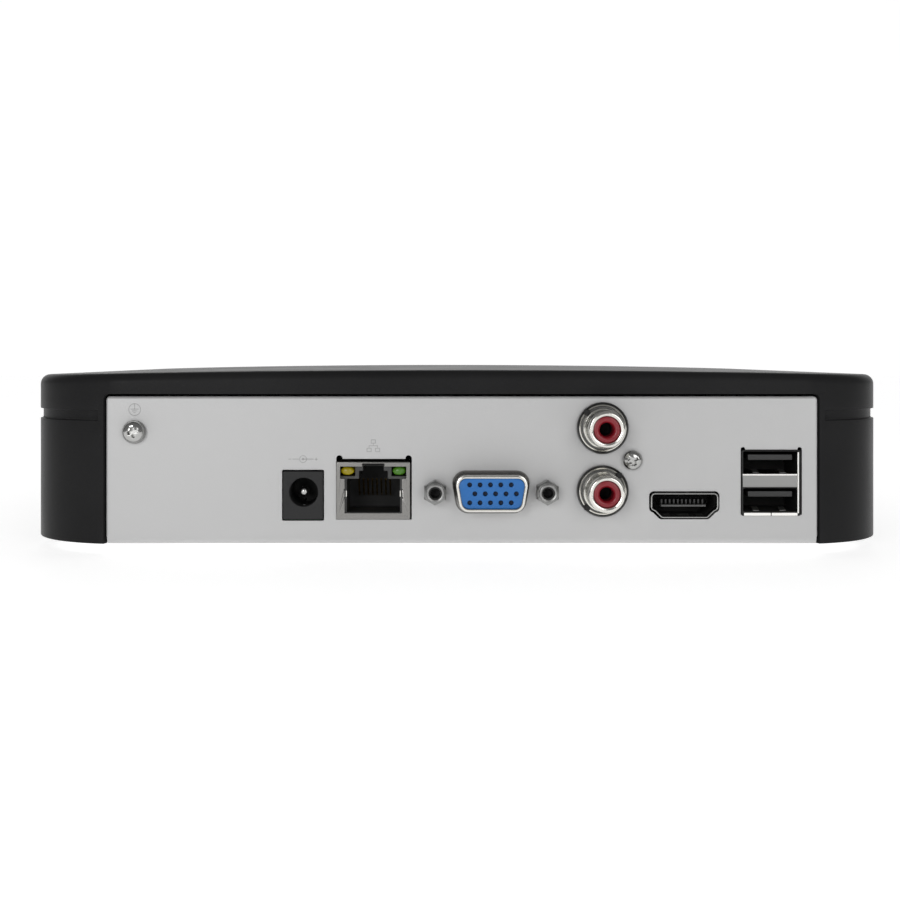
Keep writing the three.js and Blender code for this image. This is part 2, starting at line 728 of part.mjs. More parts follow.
// The round drive power lead, along the left side of the drive and back to the board.
function powerCable() {
  const lane = -84;
  const boardPlug = block([-77.8, -71.5], [POWER_SOCKET_Y - 3.5, POWER_SOCKET_Y + 3.5], [7.2, 9.6]);
  const drivePlug = block(
    [DRIVE_LEFT - 13.5, DRIVE_LEFT - GAP],
    [POWER_DRIVE_Y - 9, POWER_DRIVE_Y + 11],
    [PLUG_Z - 3, PLUG_Z + 2.5],
  );
  const route = [
    [DRIVE_LEFT - 12, POWER_DRIVE_Y, PLUG_Z],
    [-79, POWER_DRIVE_Y - 0.5, PLUG_Z],
    [-82.5, POWER_DRIVE_Y - 3, PLUG_Z],
    [lane, POWER_DRIVE_Y - 8, PLUG_Z],
    [lane, 5, PLUG_Z],
    [lane, -20, PLUG_Z - 0.5],
    [lane, POWER_SOCKET_Y + 7, PLUG_Z - 1],
    [-82.5, POWER_SOCKET_Y + 2.2, 8.4],
    [-79.5, POWER_SOCKET_Y, 8.4],
    [-76, POWER_SOCKET_Y, 8.4],
  ];
  return combine([cable(route, 3.4, 3.4, 22), boardPlug, drivePlug]);
}

// ---------------------------------------------------------------- hard disk drive, from its own lower corner

const SPINDLE = [DRIVE_LENGTH - 50.8, DRIVE_WIDTH / 2];
const PLATTER_RADIUS = 47.5;
const ARM_PIVOT = [40, 58];
const ARM_REACH = 50;
const ARM_PARKED = THREE.MathUtils.degToRad(-63.8);
const POCKET_FLOOR = 9.5;
const LID_Z = 24.5;

function driveBase() {
  const body = prismZ(rectangle([0, DRIVE_LENGTH], [0, DRIVE_WIDTH], 3), [0, LID_Z - GAP], 2);
  const pocket = [POCKET_FLOOR, DRIVE_HEIGHT];
  const holes = DRIVE_SCREW_PLACES.map(([x, y]) => rodZ(x - DRIVE_LEFT, y - DRIVE_BACK, 1.9, [-1, 6], 10));
  return combine(
    [body],
    [
      rodZ(...SPINDLE, PLATTER_RADIUS + 1.6, pocket, 40),
      block([9, 72], [8, 93.6], pocket),
      block([-1, 96], [12, 90], [-1, 3]),
      block([-1, 9], [14, 62], [-1, 8.3]),
      ...holes,
    ],
  );
}

function driveLid() {
  const outline = rectangle([0.4, DRIVE_LENGTH - 0.4], [0.4, DRIVE_WIDTH - 0.4], 3);
  return combine(
    [prismZ(outline, [LID_Z, DRIVE_HEIGHT - 0.5], 2), rodZ(...SPINDLE, 40, [LID_Z + 0.5, DRIVE_HEIGHT], 32)],
  );
}

// The drive's circuit board with its edge connector.
function driveBoard() {
  return combine(
    [block([0.5, 95.5], [12.5, 89.5], [0.8, 2.4]), block([0.5, 8.6], [15, 61], [0.8, 8])],
    [block([-1, 5], [18, 32], [3.2, 6.4]), block([-1, 5], [35, 57], [3.2, 6.4])],
  );
}

function drivePlatters() {
  const profile = [
    [0, 9.9],
    [12.5, 9.9],
    [12.5, 13],
    [PLATTER_RADIUS, 13],
    [PLATTER_RADIUS, 14.3],
    [12.5, 14.3],
    [12.5, 18],
    [PLATTER_RADIUS, 18],
    [PLATTER_RADIUS, 19.3],
    [15, 19.3],
    [15, 21.5],
    [0, 21.5],
  ];
  return turned(profile, 32).rotateX(Math.PI / 2);
}

// Pivot block, three head arms and the coil that drives them, about the pivot.
function driveArm() {
  const arm = roundedPolygon(
    [[-4, -6.5], [9, -5.5], [ARM_REACH, -1.2], [ARM_REACH, 1.2], [9, 5.5], [-4, 6.5]],
    0.4,
  );
  const coil = roundedPolygon([[-24, -9], [0, -5], [0, 5], [-24, 9]], 1);
  const levels = [[11.2, 12.2], [15.6, 16.7], [20.1, 21.1]];
  return combine([
    rodZ(0, 0, 7.2, [10, 23], 20),
    prismZ(coil, [14, 18.4], 2),
    ...levels.map((level) => prismZ(arm, level, 1)),
  ]);
}

// ---------------------------------------------------------------- front indicator board

const INDICATOR_BACK = FRONT_Y - TRAY_INSET - SHEET - GAP - 1.6;
const LAMP_PITCH = 12;

function indicatorBoard() {
  const lamps = [-1, 0, 1].map((i) => rodY(
    i * LAMP_PITCH,
    (GROOVE_LOW + GROOVE_HIGH) / 2,
    1,
    [INDICATOR_BACK + 1, FRONT_Y - WALL - GAP],
    10,
  ));
  return combine([block([-24, 24], [INDICATOR_BACK, INDICATOR_BACK + 1.6], [15, 33]), ...lamps]);
}

// The thin lead from the indicator board, over the drive plugs and down to the main board.
function indicatorLead() {
  const back = INDICATOR_BACK - GAP;
  const upperPlug = block([-21, -14], [back - 3, back], [17, 22]);
  const lowerPlug = block([-78, -72], [-24, -18], [SEAT, 10.5]);
  const route = [
    [-18, back - 1.7, 19.5],
    [-32, back - 1.7, 19.5],
    [-58, back - 1.6, 19.5],
    [-66.5, back - 5, 19.5],
    [-70, 84, 19.5],
    [-71, 68, 19],
    [-71.5, 48, 18.5],
    [-75.5, 26, 18],
    [-77, 4, 17],
    [-76.5, -10, 14.5],
    [-75.5, -18, 11.5],
    [-75, -21, 9],
  ];
  return combine([cable(route, 2, 2, 24), upperPlug, lowerPlug]);
}

// ---------------------------------------------------------------- assembly

const recorder = new THREE.Group();
const body = new THREE.Group();
body.position.z = FOOT_HEIGHT;
recorder.add(body);
const sockets = new THREE.Group();
sockets.position.y = PANEL_Y;
body.add(sockets);
const drive = new THREE.Group();
drive.position.set(DRIVE_LEFT, DRIVE_BACK, DRIVE_Z);
body.add(drive);

function place(parent, name, geometry, material, x = 0, y = 0, z = 0) {
  const mesh = new THREE.Mesh(geometry, material);
  mesh.name = name;
  mesh.position.set(x, y, z);
  parent.add(mesh);
  return mesh;
}

function addCase() {
  place(body, 'base_chassis', baseChassis(), greySheet);
  place(body, 'top_cover', topCover(), blackShell);
  place(body, 'indicator_window', indicatorWindow(), clearLens);
  FOOT_PLACES.forEach(([x, y], i) => place(body, `rubber_foot_${i + 1}`, foot(), rubber, x, y, 0));
}

function addScrews() {
  const boardScrew = panScrew({ head: 2.7, height: 1.7, shank: 1.45, length: 3.6, sides: 8 });
  const trayScrew = panScrew({ head: 2.9, height: 1.6, shank: 1.45, length: 6, sides: 8 });
  const coverScrew = panScrew({ head: 2.9, height: 1.6, shank: 1.35, length: 10, sides: 8 });
  BOARD_SCREW_PLACES.forEach(([x, y], i) => {
    place(body, `board_screw_${i + 1}`, boardScrew, plated, x, y, SEAT);
  });
  DRIVE_SCREW_PLACES.forEach(([x, y], i) => {
    place(body, `drive_screw_${i + 1}`, trayScrew, plated, x, y, -GAP).rotation.x = Math.PI;
  });
  COVER_SCREW_PLACES.forEach(([x, y], i) => {
    place(body, `cover_screw_${i + 1}`, coverScrew, plated, x, y, -GAP).rotation.x = Math.PI;
  });
}

function addPanelScrews() {
  const washer = combine([rodY(0, 0, 2.6, [-GAP - 0.6, -GAP], 24)], [rodY(0, 0, 1.9, [-3, 2], 16)]);
  const earthScrew = panScrew({ head: 2.4, height: 1.9, shank: 1.5, length: 6, sides: 16 });
  const panelScrew = panScrew({ head: 2.2, height: 1.6, shank: 1.45, length: 8, sides: 16 });
  const [earthX, earthZ] = EARTH_PLACE;
  place(sockets, 'earth_washer', washer, plated, earthX, 0, earthZ);
  place(sockets, 'earth_screw', earthScrew, plated, earthX, -2 * GAP - 0.6, earthZ).rotation.x = Math.PI / 2;
  const [screwX, screwZ] = PANEL_SCREW_PLACE;
  place(sockets, 'panel_screw', panelScrew, plated, screwX, -GAP, screwZ).rotation.x = Math.PI / 2;
}

function addSockets() {
  const at = (name, geometry, material, [x, z]) => place(sockets, name, geometry, material, x, 0, z);
  at('power_inlet_housing', powerHousing(), blackMoulding, POWER_PLACE);
  at('power_inlet_pin', powerPin(), plated, [POWER_PLACE[0] + 0.15, POWER_PLACE[1] + 0.75]);
  at('network_shield', networkShield(), plated, NETWORK_PLACE);
  at('network_insert', networkInsert(), blackMoulding, NETWORK_PLACE);
  const lampHeight = NETWORK_PLACE[1] + 4.4;
  at('network_lamp_left', networkLamp(), yellowLens, [NETWORK_PLACE[0] - 5.8, lampHeight]);
  at('network_lamp_right', networkLamp(), greenLens, [NETWORK_PLACE[0] + 5.8, lampHeight]);
  at('video_shell', videoShell(), plated, VIDEO_PLACE);
  at('video_insulator', videoInsulator(), blueMoulding, VIDEO_PLACE);
  at('video_jack_screw_left', jackScrew(), plated, [VIDEO_PLACE[0] - JACK_SCREW_OFFSET, VIDEO_PLACE[1]]);
  at('video_jack_screw_right', jackScrew(), plated, [VIDEO_PLACE[0] + JACK_SCREW_OFFSET, VIDEO_PLACE[1]]);
  at('audio_housing', audioHousing(), blackMoulding, [0, 0]);
  for (const [level, height] of Object.entries(AUDIO_HEIGHTS)) {
    at(`audio_barrel_${level}`, audioBarrel(), plated, [AUDIO_X, height]);
    at(`audio_insulator_${level}`, audioInsulator(), redMoulding, [AUDIO_X, height]);
  }
  at('digital_video_shell', digitalVideoShell(), plated, DIGITAL_VIDEO_PLACE);
  at('digital_video_tongue', digitalVideoTongue(), blackMoulding, DIGITAL_VIDEO_PLACE);
  at('usb_shell', usbShell(), plated, USB_PLACE);
  for (const [level, heights] of Object.entries(USB_PORT_HEIGHTS)) {
    at(`usb_tongue_${level}`, usbTongue(heights), blackMoulding, USB_PLACE);
  }
}

function addBoard() {
  place(body, 'main_board', mainBoard(), greenBoard);
  place(body, 'processor', block([-12, 12], [-12, 12], [0, 2]), blackMoulding, -30, -52, SEAT);
  place(body, 'heat_sink', heatSink(), castMetal, -30, -52, SEAT + 2 + GAP);
  place(body, 'capacitor', capacitor(), blackMoulding, -58, -66, SEAT);
  place(body, 'coin_cell_holder', coinCellHolder(), blackMoulding, 52, -38, SEAT);
  place(body, 'coin_cell', rodZ(0, 0, 10, [0, 3.2], 24), plated, 52, -38, SEAT + 1 + GAP);
  place(body, 'buzzer', buzzer(), blackMoulding, 8, -60, SEAT);
  place(body, 'drive_data_socket', dataSocket(), blackMoulding, DATA_X, DATA_SOCKET_Y, SEAT);
  place(body, 'drive_power_socket', powerSocket(), whiteMoulding, -73.3, POWER_SOCKET_Y, SEAT);
  place(body, 'drive_data_cable', dataCable(), redCable);
  place(body, 'drive_power_cable', powerCable(), blackMoulding);
}

function addDrive() {
  place(drive, 'drive_base', driveBase(), castMetal);
  place(drive, 'drive_lid', driveLid(), castMetal);
  place(drive, 'drive_board', driveBoard(), greenBoard);
  place(drive, 'drive_platters', drivePlatters(), mirrorDisk, ...SPINDLE);
  place(drive, 'drive_arm', driveArm(), castMetal, ...ARM_PIVOT).rotation.z = ARM_PARKED;
}

function addIndicators() {
  place(body, 'indicator_board', indicatorBoard(), greenBoard);
  place(body, 'indicator_lead', indicatorLead(), whiteMoulding);
}

addCase();
addScrews();
addPanelScrews();
addSockets();
addBoard();
addDrive();
addIndicators();

export default recorder;
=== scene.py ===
import math
import random

import bmesh
import bpy
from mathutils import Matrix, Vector, geometry


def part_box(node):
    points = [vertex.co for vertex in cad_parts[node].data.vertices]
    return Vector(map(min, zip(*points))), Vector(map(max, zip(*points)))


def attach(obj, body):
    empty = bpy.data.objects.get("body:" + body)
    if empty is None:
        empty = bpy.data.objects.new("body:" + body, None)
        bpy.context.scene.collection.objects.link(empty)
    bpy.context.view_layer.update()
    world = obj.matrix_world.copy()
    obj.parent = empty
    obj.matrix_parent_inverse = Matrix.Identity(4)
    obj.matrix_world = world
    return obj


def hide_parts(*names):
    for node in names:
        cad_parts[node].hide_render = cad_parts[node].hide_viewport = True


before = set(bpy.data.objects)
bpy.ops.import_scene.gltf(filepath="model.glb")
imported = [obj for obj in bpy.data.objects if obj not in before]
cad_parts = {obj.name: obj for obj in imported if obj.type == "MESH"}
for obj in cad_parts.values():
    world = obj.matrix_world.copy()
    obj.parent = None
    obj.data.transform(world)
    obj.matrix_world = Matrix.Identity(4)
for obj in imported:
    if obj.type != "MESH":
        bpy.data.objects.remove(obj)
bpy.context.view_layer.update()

# ---- places, in millimetres
# Everything is drawn in "case millimetres": x from the middle of the case, y from the panel's face
# (negative is out of the panel), z from the bottom edge of the case.

MM = 0.001
MICRON = 0.000001
TAU = 2 * math.pi
PANEL_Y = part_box("base_chassis")[0].y
BODY_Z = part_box("top_cover")[0].z
MIDDLE_Y = -PANEL_Y / MM


def metres(point):
    x, y, z = point
    return Vector((x * MM, PANEL_Y + y * MM, BODY_Z + z * MM))


def case_box(node):
    """Lowest and highest corner of a CAD node in case millimetres."""
    low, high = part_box(node)
    shift = Vector((0, PANEL_Y, BODY_Z))
    return (low - shift) / MM, (high - shift) / MM


def centre(node):
    """Middle of a CAD node across and up."""
    low, high = case_box(node)
    return (low.x + high.x) / 2, (low.z + high.z) / 2


def node_plan(node):
    """Middle of a CAD node seen from above."""
    low, high = case_box(node)
    return (low.x + high.x) / 2, (low.y + high.y) / 2


COVER_LOW, COVER_HIGH = case_box("top_cover")
CASE_HALF = COVER_HIGH.x
CASE_REAR = COVER_LOW.y
CASE_FRONT = COVER_HIGH.y
CASE_MIDDLE = (CASE_REAR + CASE_FRONT) / 2
CORNER_RADIUS = 25.0
ROOF_FILLET = 2.2
ROOF_CROWN = 0.8
CROWN_HALF = 80.0
SIDE_TOP = COVER_HIGH.z - ROOF_CROWN
WALL = 2.2
SHEET = 0.8

PANEL_LEFT, PANEL_RIGHT = -79.55, 81.0
PANEL_TOP = 33.6
PANEL_GAP = 0.5
HEAD_SEAT = 0.3
OPENING_ROUND = 1.2
GROOVE_LOW, GROOVE_HIGH = 27.7, 29.9
GROOVE_DEPTH = 0.65
GROOVE_END = 1.4

STRAIGHT_HALF = CASE_HALF - CORNER_RADIUS
LEFT_BEYOND = -PANEL_LEFT - STRAIGHT_HALF
RIGHT_BEYOND = PANEL_RIGHT - STRAIGHT_HALF

POWER = centre("power_inlet_housing")
NETWORK = centre("network_shield")
VIDEO = centre("video_insulator")
JACK_SCREWS = [centre("video_jack_screw_left"), centre("video_jack_screw_right")]
AUDIO = [centre("audio_barrel_upper"), centre("audio_barrel_lower")]
PANEL_SCREW = centre("panel_screw")
DIGITAL = centre("digital_video_shell")
USB = (centre("usb_tongue_upper")[0], case_box("usb_shell")[0].z + 7.3)
EARTH = centre("earth_washer")

# ---- mesh helpers
# A part is a pair of vertices and faces. These say which ends of a skin over rings are closed.

BOTH, NEITHER, FIRST, LAST = (True, True), (False, False), (True, False), (False, True)
LOOP = None  # the last ring joins the first


def merged(*parts):
    """Joins parts into one part."""
    vertices, faces = [], []
    for part_vertices, part_faces in parts:
        start = len(vertices)
        vertices.extend(part_vertices)
        faces.extend([tuple(start + i for i in face) for face in part_faces])
    return vertices, faces


def add_mesh(name, finish, *parts, node=None, body="base", sharp=35):
    """A mesh piece made of parts. It rides on a body, and may stand in for a CAD node."""
    vertices, faces = merged(*parts)
    mesh = bpy.data.meshes.new(name)
    mesh.from_pydata([metres(v) for v in vertices], [], faces)
    work = bmesh.new()
    work.from_mesh(mesh)
    bmesh.ops.remove_doubles(work, verts=work.verts, dist=1e-7)
    bmesh.ops.recalc_face_normals(work, faces=work.faces)
    work.to_mesh(mesh)
    work.free()
    mesh.shade_smooth()
    mesh.set_sharp_from_angle(angle=math.radians(sharp))
    piece = bpy.data.objects.new(name, mesh)
    bpy.context.collection.objects.link(piece)
    mesh.materials.append(finish)
    add_shading(piece)
    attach(piece, body)
    if node:
        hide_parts(node)
    return piece


def add_shading(piece):
    weighted = piece.modifiers.new("shading", "WEIGHTED_NORMAL")
    weighted.keep_sharp = True


def soften(piece, width, segments, angle):
    """Rounds over the edges that are sharper than the angle."""
    bevel = piece.modifiers.new("edges", "BEVEL")
    bevel.width = width * MM
    bevel.segments = segments
    bevel.limit_method = "ANGLE"
    bevel.angle_limit = math.radians(angle)


def skin(rings, ends=BOTH):
    """Faces over rings of equal length."""
    count = len(rings[0])
    vertices = [point for ring in rings for point in ring]
    faces = []
    for level in range(len(rings) if ends is LOOP else len(rings) - 1):
        low, high = level * count, (level + 1) % len(rings) * count
        for i in range(count):
            j = (i + 1) % count
            faces.append((low + i, low + j, high + j, high + i))
    if ends and ends[0]:
        faces.append(tuple(range(count))[::-1])
    if ends and ends[1]:
        last = (len(rings) - 1) * count
        faces.append(tuple(range(last, last + count)))
    return vertices, faces


def rounded(corners, radius, grow=0.0, steps=6):
    """Outline through counter-clockwise corners, moved outwards by grow, with round corners."""
    count = len(corners)
    radii = radius if isinstance(radius, list) else [radius] * count
    points = [Vector(corner) for corner in corners]
    lines = []
    for i, start in enumerate(points):
        along = (points[(i + 1) % count] - start).normalized()
        outwards = Vector((along.y, -along.x))
        lines.append((start + outwards * grow, along))
    outline = []
    for i in range(count):
        (before, into), (after, away) = lines[i - 1], lines[i]
        turn = into.x * away.y - into.y * away.x
        share = ((after - before).x * away.y - (after - before).y * away.x) / turn
        corner = before + into * share
        bend = max(radii[i] + (grow if turn > 0 else -grow), 0.02)
        half_angle = (math.pi - into.angle(away)) / 2
        reach = bend / math.tan(half_angle)
        hub = corner + (away - into).normalized() * (bend / math.sin(half_angle))
        first = corner - into * reach - hub
        last = corner + away * reach - hub
        sweep = math.atan2(first.x * last.y - first.y * last.x, first.dot(last))
        for step in range(steps + 1):
            angle = sweep * step / steps
            outline.append(tuple(hub + Vector(rotated(first, angle))))
    return outline


def rotated(point, angle):
    x, y = point
    cos, sin = math.cos(angle), math.sin(angle)
    return x * cos - y * sin, x * sin + y * cos


def box_corners(half_width, half_height):
    x, z = half_width, half_height
    return [(-x, -z), (x, -z), (x, z), (-x, z)]


def circle(radius, count=48):
    return [rotated((radius, 0), TAU * i / count) for i in range(count)]


def moved(outline, place):
    return [(place[0] + x, place[1] + z) for x, z in outline]


def pad(half_width, half_height, radius, place=(0, 0), steps=6):
    """A rounded rectangle about a place."""
    return moved(rounded(box_corners(half_width, half_height), radius, 0, steps), place)


def placed(outline, y, place=(0, 0)):
    """A flat outline set upright at a depth: its x and y become case x and z."""
    return [(place[0] + x, y, place[1] + z) for x, z in outline]


def prism(outline, depths, ends=LAST, place=(0, 0)):
    return skin([placed(outline, y, place) for y in depths], ends)


def swept(corners, place, profile, radius=0.4, steps=4, ends=NEITHER):
    """A wall through rounded outlines: each profile point is how far out it lies and its depth."""
    return skin([placed(rounded(corners, radius, grow, steps), y, place) for grow, y in profile], ends)


def turned(profile, place, count=64, ends=BOTH):
    """A part turned about a line along y: profile points are radius and depth."""
    return skin([placed(circle(max(radius, 0.001), count), y, place) for radius, y in profile], ends)


def upright(profile, place, base, count=48, ends=BOTH):
    """A part turned about a vertical line: profile points are radius and height above base."""
    rings = []
    for radius, height in profile:
        rings.append([(x, y, base + height) for x, y in moved(circle(max(radius, 0.001), count), place)])
    return skin(rings, ends)


def shrunk(outline, amount):
    """The outline moved to its left-hand side by amount, which is inwards if counter-clockwise."""
    count = len(outline)
    result = []
    for i in range(count):
        before, here, after = (Vector(outline[(i + k) % count]) for k in (-1, 0, 1))
        along = ((here - before).normalized() + (after - here).normalized()).normalized()
        result.append((here.x - along.y * amount, here.y + along.x * amount))
    return result


def slab(outer, holes, front, back, outer_edge=0.1, hole_edge=0.06):
    """A sheet with holes between two depths. Edges at the front are rounded over."""
    edges = [outer_edge] + [hole_edge] * len(holes)
    rounding = [(1 - math.sin(a), 1 - math.cos(a)) for a in (0, math.pi / 6, math.pi / 3, math.pi / 2)]
    vertices, faces, front_loops, back_loops = [], [], [], []
    for loop, edge in zip([outer] + [hole[::-1] for hole in holes], edges):
        rings = [placed(shrunk(loop, edge * inwards), front + edge * deep) for inwards, deep in rounding]
        rings.append(placed(loop, back))
        start = len(vertices)
        vertices, faces = merged((vertices, faces), skin(rings, NEITHER))
        count = len(loop)
        front_loops.append(list(range(start, start + count)))
        back_loops.append(list(range(len(vertices) - count, len(vertices))))
    for loops in (front_loops, back_loops):
        flat = [[Vector((vertices[i][0], vertices[i][2], 0)) for i in loop] for loop in loops]
        order = [i for loop in loops for i in loop]
        faces += [tuple(order[i] for i in triangle) for triangle in geometry.tessellate_polygon(flat)]
    return vertices, faces


def flat_sheet(outer, holes, low, high, edge=0.08):
    """A level sheet with holes, drawn in plan."""
    vertices, faces = slab(outer, holes, 0, high - low, edge, edge)
    return [(x, z, high - y) for x, y, z in vertices], faces


def brick(low, high, edge=0.15):
    """A box with all its edges rounded over."""
    size = [h - l for l, h in zip(low, high)]
    edge = min(edge, min(size) * 0.45)
    middle = ((low[0] + high[0]) / 2, (low[1] + high[1]) / 2)
    corners = box_corners(size[0] / 2, size[1] / 2)
    side = [(edge, 0), (edge * 0.3, edge * 0.3), (0, edge)]
    levels = [(inwards, low[2] + rise) for inwards, rise in side]
    levels += [(inwards, high[2] - fall) for inwards, fall in side[::-1]]
    rings = []
    for inwards, z in levels:
        ring = moved(rounded(corners, edge * 1.2, -inwards, 2), middle)
        rings.append([(x, y, z) for x, y in ring])
    return skin(rings)


def smooth_path(points, steps=6):
    """Catmull-Rom points through the given ones."""
    knots = [Vector(p) for p in (points[0], *points, points[-1])]
    path = []
    for i in range(1, len(knots) - 2):
        a, b, c, d = knots[i - 1 : i + 3]
        for step in range(steps):
            t = step / steps
            square = (2 * a - 5 * b + 4 * c - d) * t**2
            cube = (3 * b - a - 3 * c + d) * t**3
            path.append(0.5 * (2 * b + (c - a) * t + square + cube))
    path.append(knots[-2])
    return path


def tube(points, radius, count=12):
    """A round wire along a smooth curve through points."""
    path = smooth_path(points)
    rings = []
    for i, point in enumerate(path):
        ahead = path[min(i + 1, len(path) - 1)] - path[max(i - 1, 0)]
        ahead.normalize()
        across = ahead.cross(Vector((0, 0, 1)))
        if across.length < 0.2:
            across = ahead.cross(Vector((1, 0, 0)))
        across.normalize()
        over = across.cross(ahead).normalized()
        ring = circle(1, count)
        rings.append([tuple(point + across * (x * radius) + over * (z * radius)) for x, z in ring])
    return skin(rings)


def wires(points, radius, offsets):
    """Several round wires that follow one route side by side."""
    return merged(*[tube([(x + dx, y, z + dz) for x, y, z in points], radius, 8) for dx, dz in offsets])


def blade(stations, half_width, thick=0.15):
    """A bent spring strip: each station is its middle x, depth and height."""
    rings = []
    for x, y, z in stations:
        left, right = x - half_width, x + half_width
        rings.append([(left, y, z), (right, y, z), (right, y, z + thick), (left, y, z + thick)])
    return skin(rings)


# ---- materials


def add_noise(tree, place, scale, detail):
    noise = tree.nodes.new("ShaderNodeTexNoise")
    noise.inputs["Scale"].default_value = scale
    noise.inputs["Detail"].default_value = detail
    tree.links.new(place.outputs["Object"], noise.inputs["Vector"])
    return noise.outputs["Fac"]


def map_range(tree, source, target, span):
    """Feeds the target from the source, taking one span of values to another."""
    node = tree.nodes.new("ShaderNodeMapRange")
    for name, value in zip(("From Min", "From Max", "To Min", "To Max"), span):
        node.inputs[name].default_value = value
    tree.links.new(source, node.inputs["Value"])
    tree.links.new(node.outputs["Result"], target)


def finish_of(
    name, color, roughness, metallic=0.0, grain=None, slot=None, mottle=0.03, mottle_scale=60.0,
    rough_spread=0.08, coat=0.0, emission=0.0, specular=0.5,
):
    """A procedural finish: slightly uneven colour and roughness, and a grain (scale, depth in microns)."""
    material = bpy.data.materials.new(name)
    material["slot"] = slot or name
    material.use_nodes = True
    tree = material.node_tree
    shader = tree.nodes["Principled BSDF"]
    shader.inputs["Metallic"].default_value = metallic
    shader.inputs["Specular IOR Level"].default_value = specular
    shader.inputs["Coat Weight"].default_value = coat
    shader.inputs["Coat Roughness"].default_value = 0.15
    if emission:
        shader.inputs["Emission Color"].default_value = (*color, 1)
        shader.inputs["Emission Strength"].default_value = emission
    place = tree.nodes.new("ShaderNodeTexCoord")
    cloud = add_noise(tree, place, mottle_scale, 6)
    shade = tree.nodes.new("ShaderNodeValToRGB")
    for element, position, change in zip(shade.color_ramp.elements, (0.3, 0.7), (1 - mottle, 1 + mottle)):
        element.position = position
        element.color = (*[min(c * change, 1) for c in color], 1)
    tree.links.new(cloud, shade.inputs["Fac"])
    tree.links.new(shade.outputs["Color"], shader.inputs["Base Color"])
    half = rough_spread / 2
    span = (0.3, 0.7, max(roughness - half, 0.02), roughness + half)
    map_range(tree, cloud, shader.inputs["Roughness"], span)
    if grain:
        scale, depth = grain
        relief = tree.nodes.new("ShaderNodeBump")
        relief.inputs["Strength"].default_value = 1.0
        relief.inputs["Distance"].default_value = depth * MICRON
        tree.links.new(add_noise(tree, place, scale, 3), relief.inputs["Height"])
        tree.links.new(relief.outputs["Normal"], shader.inputs["Normal"])
    return material


def grey(level):
    return (level, level, level)


COVER_BLACK = finish_of(
    "cover_black", (0.018, 0.018, 0.0185), 0.34, grain=(3500, 30), mottle=0.08, specular=0.05
)
PANEL_GREY = finish_of("panel_grey", grey(0.50), 0.48, 0.25, (2600, 20), mottle=0.02)
PRINT_GREY = finish_of("print_grey", grey(0.34), 0.6, slot="panel_grey", mottle=0.05, mottle_scale=900)

PLATED = finish_of("plated_metal", (0.70, 0.69, 0.65), 0.17, 1, (1500, 0.8))
SATIN_METAL = finish_of("satin_metal", (0.28, 0.28, 0.275), 0.34, 0.9, (1500, 4), "plated_metal")
SHELL_METAL = finish_of("shell_metal", (0.25, 0.245, 0.235), 0.24, 1, (1500, 2), "plated_metal")
# A pale copy of the plated metal: painted highlight on the USB shell's right wall, bottom flanges and the lit
# top of the divider.
HIGHLIGHT_METAL = finish_of("painted_highlight_metal", (0.92, 0.91, 0.88), 0.45, 0.6, (1100, 6), "plated_metal")
# A darker copy of the plated metal: painted shade on the phono sockets' outer edge and groove, and on the
# spring deep in the power inlet's bore.
SHADE_METAL = finish_of("painted_shade_metal", grey(0.10), 0.3, 1, (1100, 6), "plated_metal")
GOLD = finish_of("contact_gold", (0.75, 0.52, 0.18), 0.22, 1, (1500, 5), "plated_metal")
SCREW_METAL = finish_of("screw_metal", (0.46, 0.46, 0.45), 0.2, 1, (1200, 3))
CAST_METAL = finish_of("cast_metal", (0.42, 0.43, 0.44), 0.5, 0.85, (1400, 40))
SINK_METAL = finish_of("sink_metal", (0.05, 0.05, 0.055), 0.4, 0.5, (900, 20), "cast_metal")
LID_METAL = finish_of(
    "lid_metal", (0.60, 0.61, 0.62), 0.3, 0.95, (1500, 3), "cast_metal", mottle=0.01, rough_spread=0.03
)
DISK_MIRROR = finish_of("disk_mirror", (0.86, 0.87, 0.88), 0.05, 1, mottle=0.01, rough_spread=0.02)

SOCKET_BLACK = finish_of(
    "socket_black", (0.010, 0.010, 0.0105), 0.5, grain=(2500, 20), mottle=0.1, specular=0.35
)
# Near-black: painted shade in holes, bores, cavities, port walls and the groove's seam line; also the small
# key squares beside the phono sockets.
BLACK_AND_SHADE = finish_of("black_and_painted_shade", grey(0.006), 0.7, 0, (2500, 20), "socket_black", mottle=0.1)
TOOTH_GREY = finish_of("tooth_grey", grey(0.018), 0.45, 0, (2500, 10), "socket_black")
# A lighter copy of the tongue's black plastic: painted highlight on the front edge of the digital video
# tongue.
HIGHLIGHT_GREY = finish_of("painted_highlight_grey", grey(0.10), 0.45, 0, (2500, 10), "socket_black")
INSERT_BLACK = finish_of("insert_black", (0.035, 0.035, 0.034), 0.42, 0, (2500, 20), "socket_black")
VIDEO_BLUE = finish_of("video_blue", (0.0045, 0.13, 0.42), 0.38, 0, (1800, 10), mottle=0.04)
# A darker copy of the blue: painted shade in the pin holes.
SHADE_BLUE = finish_of("painted_shade_blue", (0.003, 0.022, 0.075), 0.5, 0, (1800, 10), "video_blue")
AUDIO_RED = finish_of("audio_red", (0.22, 0.007, 0.015), 0.3, 0, (1500, 10), mottle=0.06)
PLUG_WHITE = finish_of("plug_white", (0.72, 0.69, 0.60), 0.4, 0, (1500, 10))
TAN = finish_of("ceramic_tan", (0.33, 0.22, 0.12), 0.4, 0, (1800, 10), "plug_white", mottle=0.2)
CABLE_RED = finish_of("cable_red", (0.36, 0.012, 0.012), 0.42, 0, (1200, 20))
CABLE_BLACK = finish_of("cable_black", grey(0.02), 0.45, 0, (1200, 20))
FOOT_RUBBER = finish_of("foot_rubber", grey(0.02), 0.85, 0, (2000, 40), mottle=0.15)
BOARD_GREEN = finish_of(
    "board_green", (0.010, 0.085, 0.032), 0.35, 0, (700, 20), coat=0.3, mottle=0.25, mottle_scale=450
)

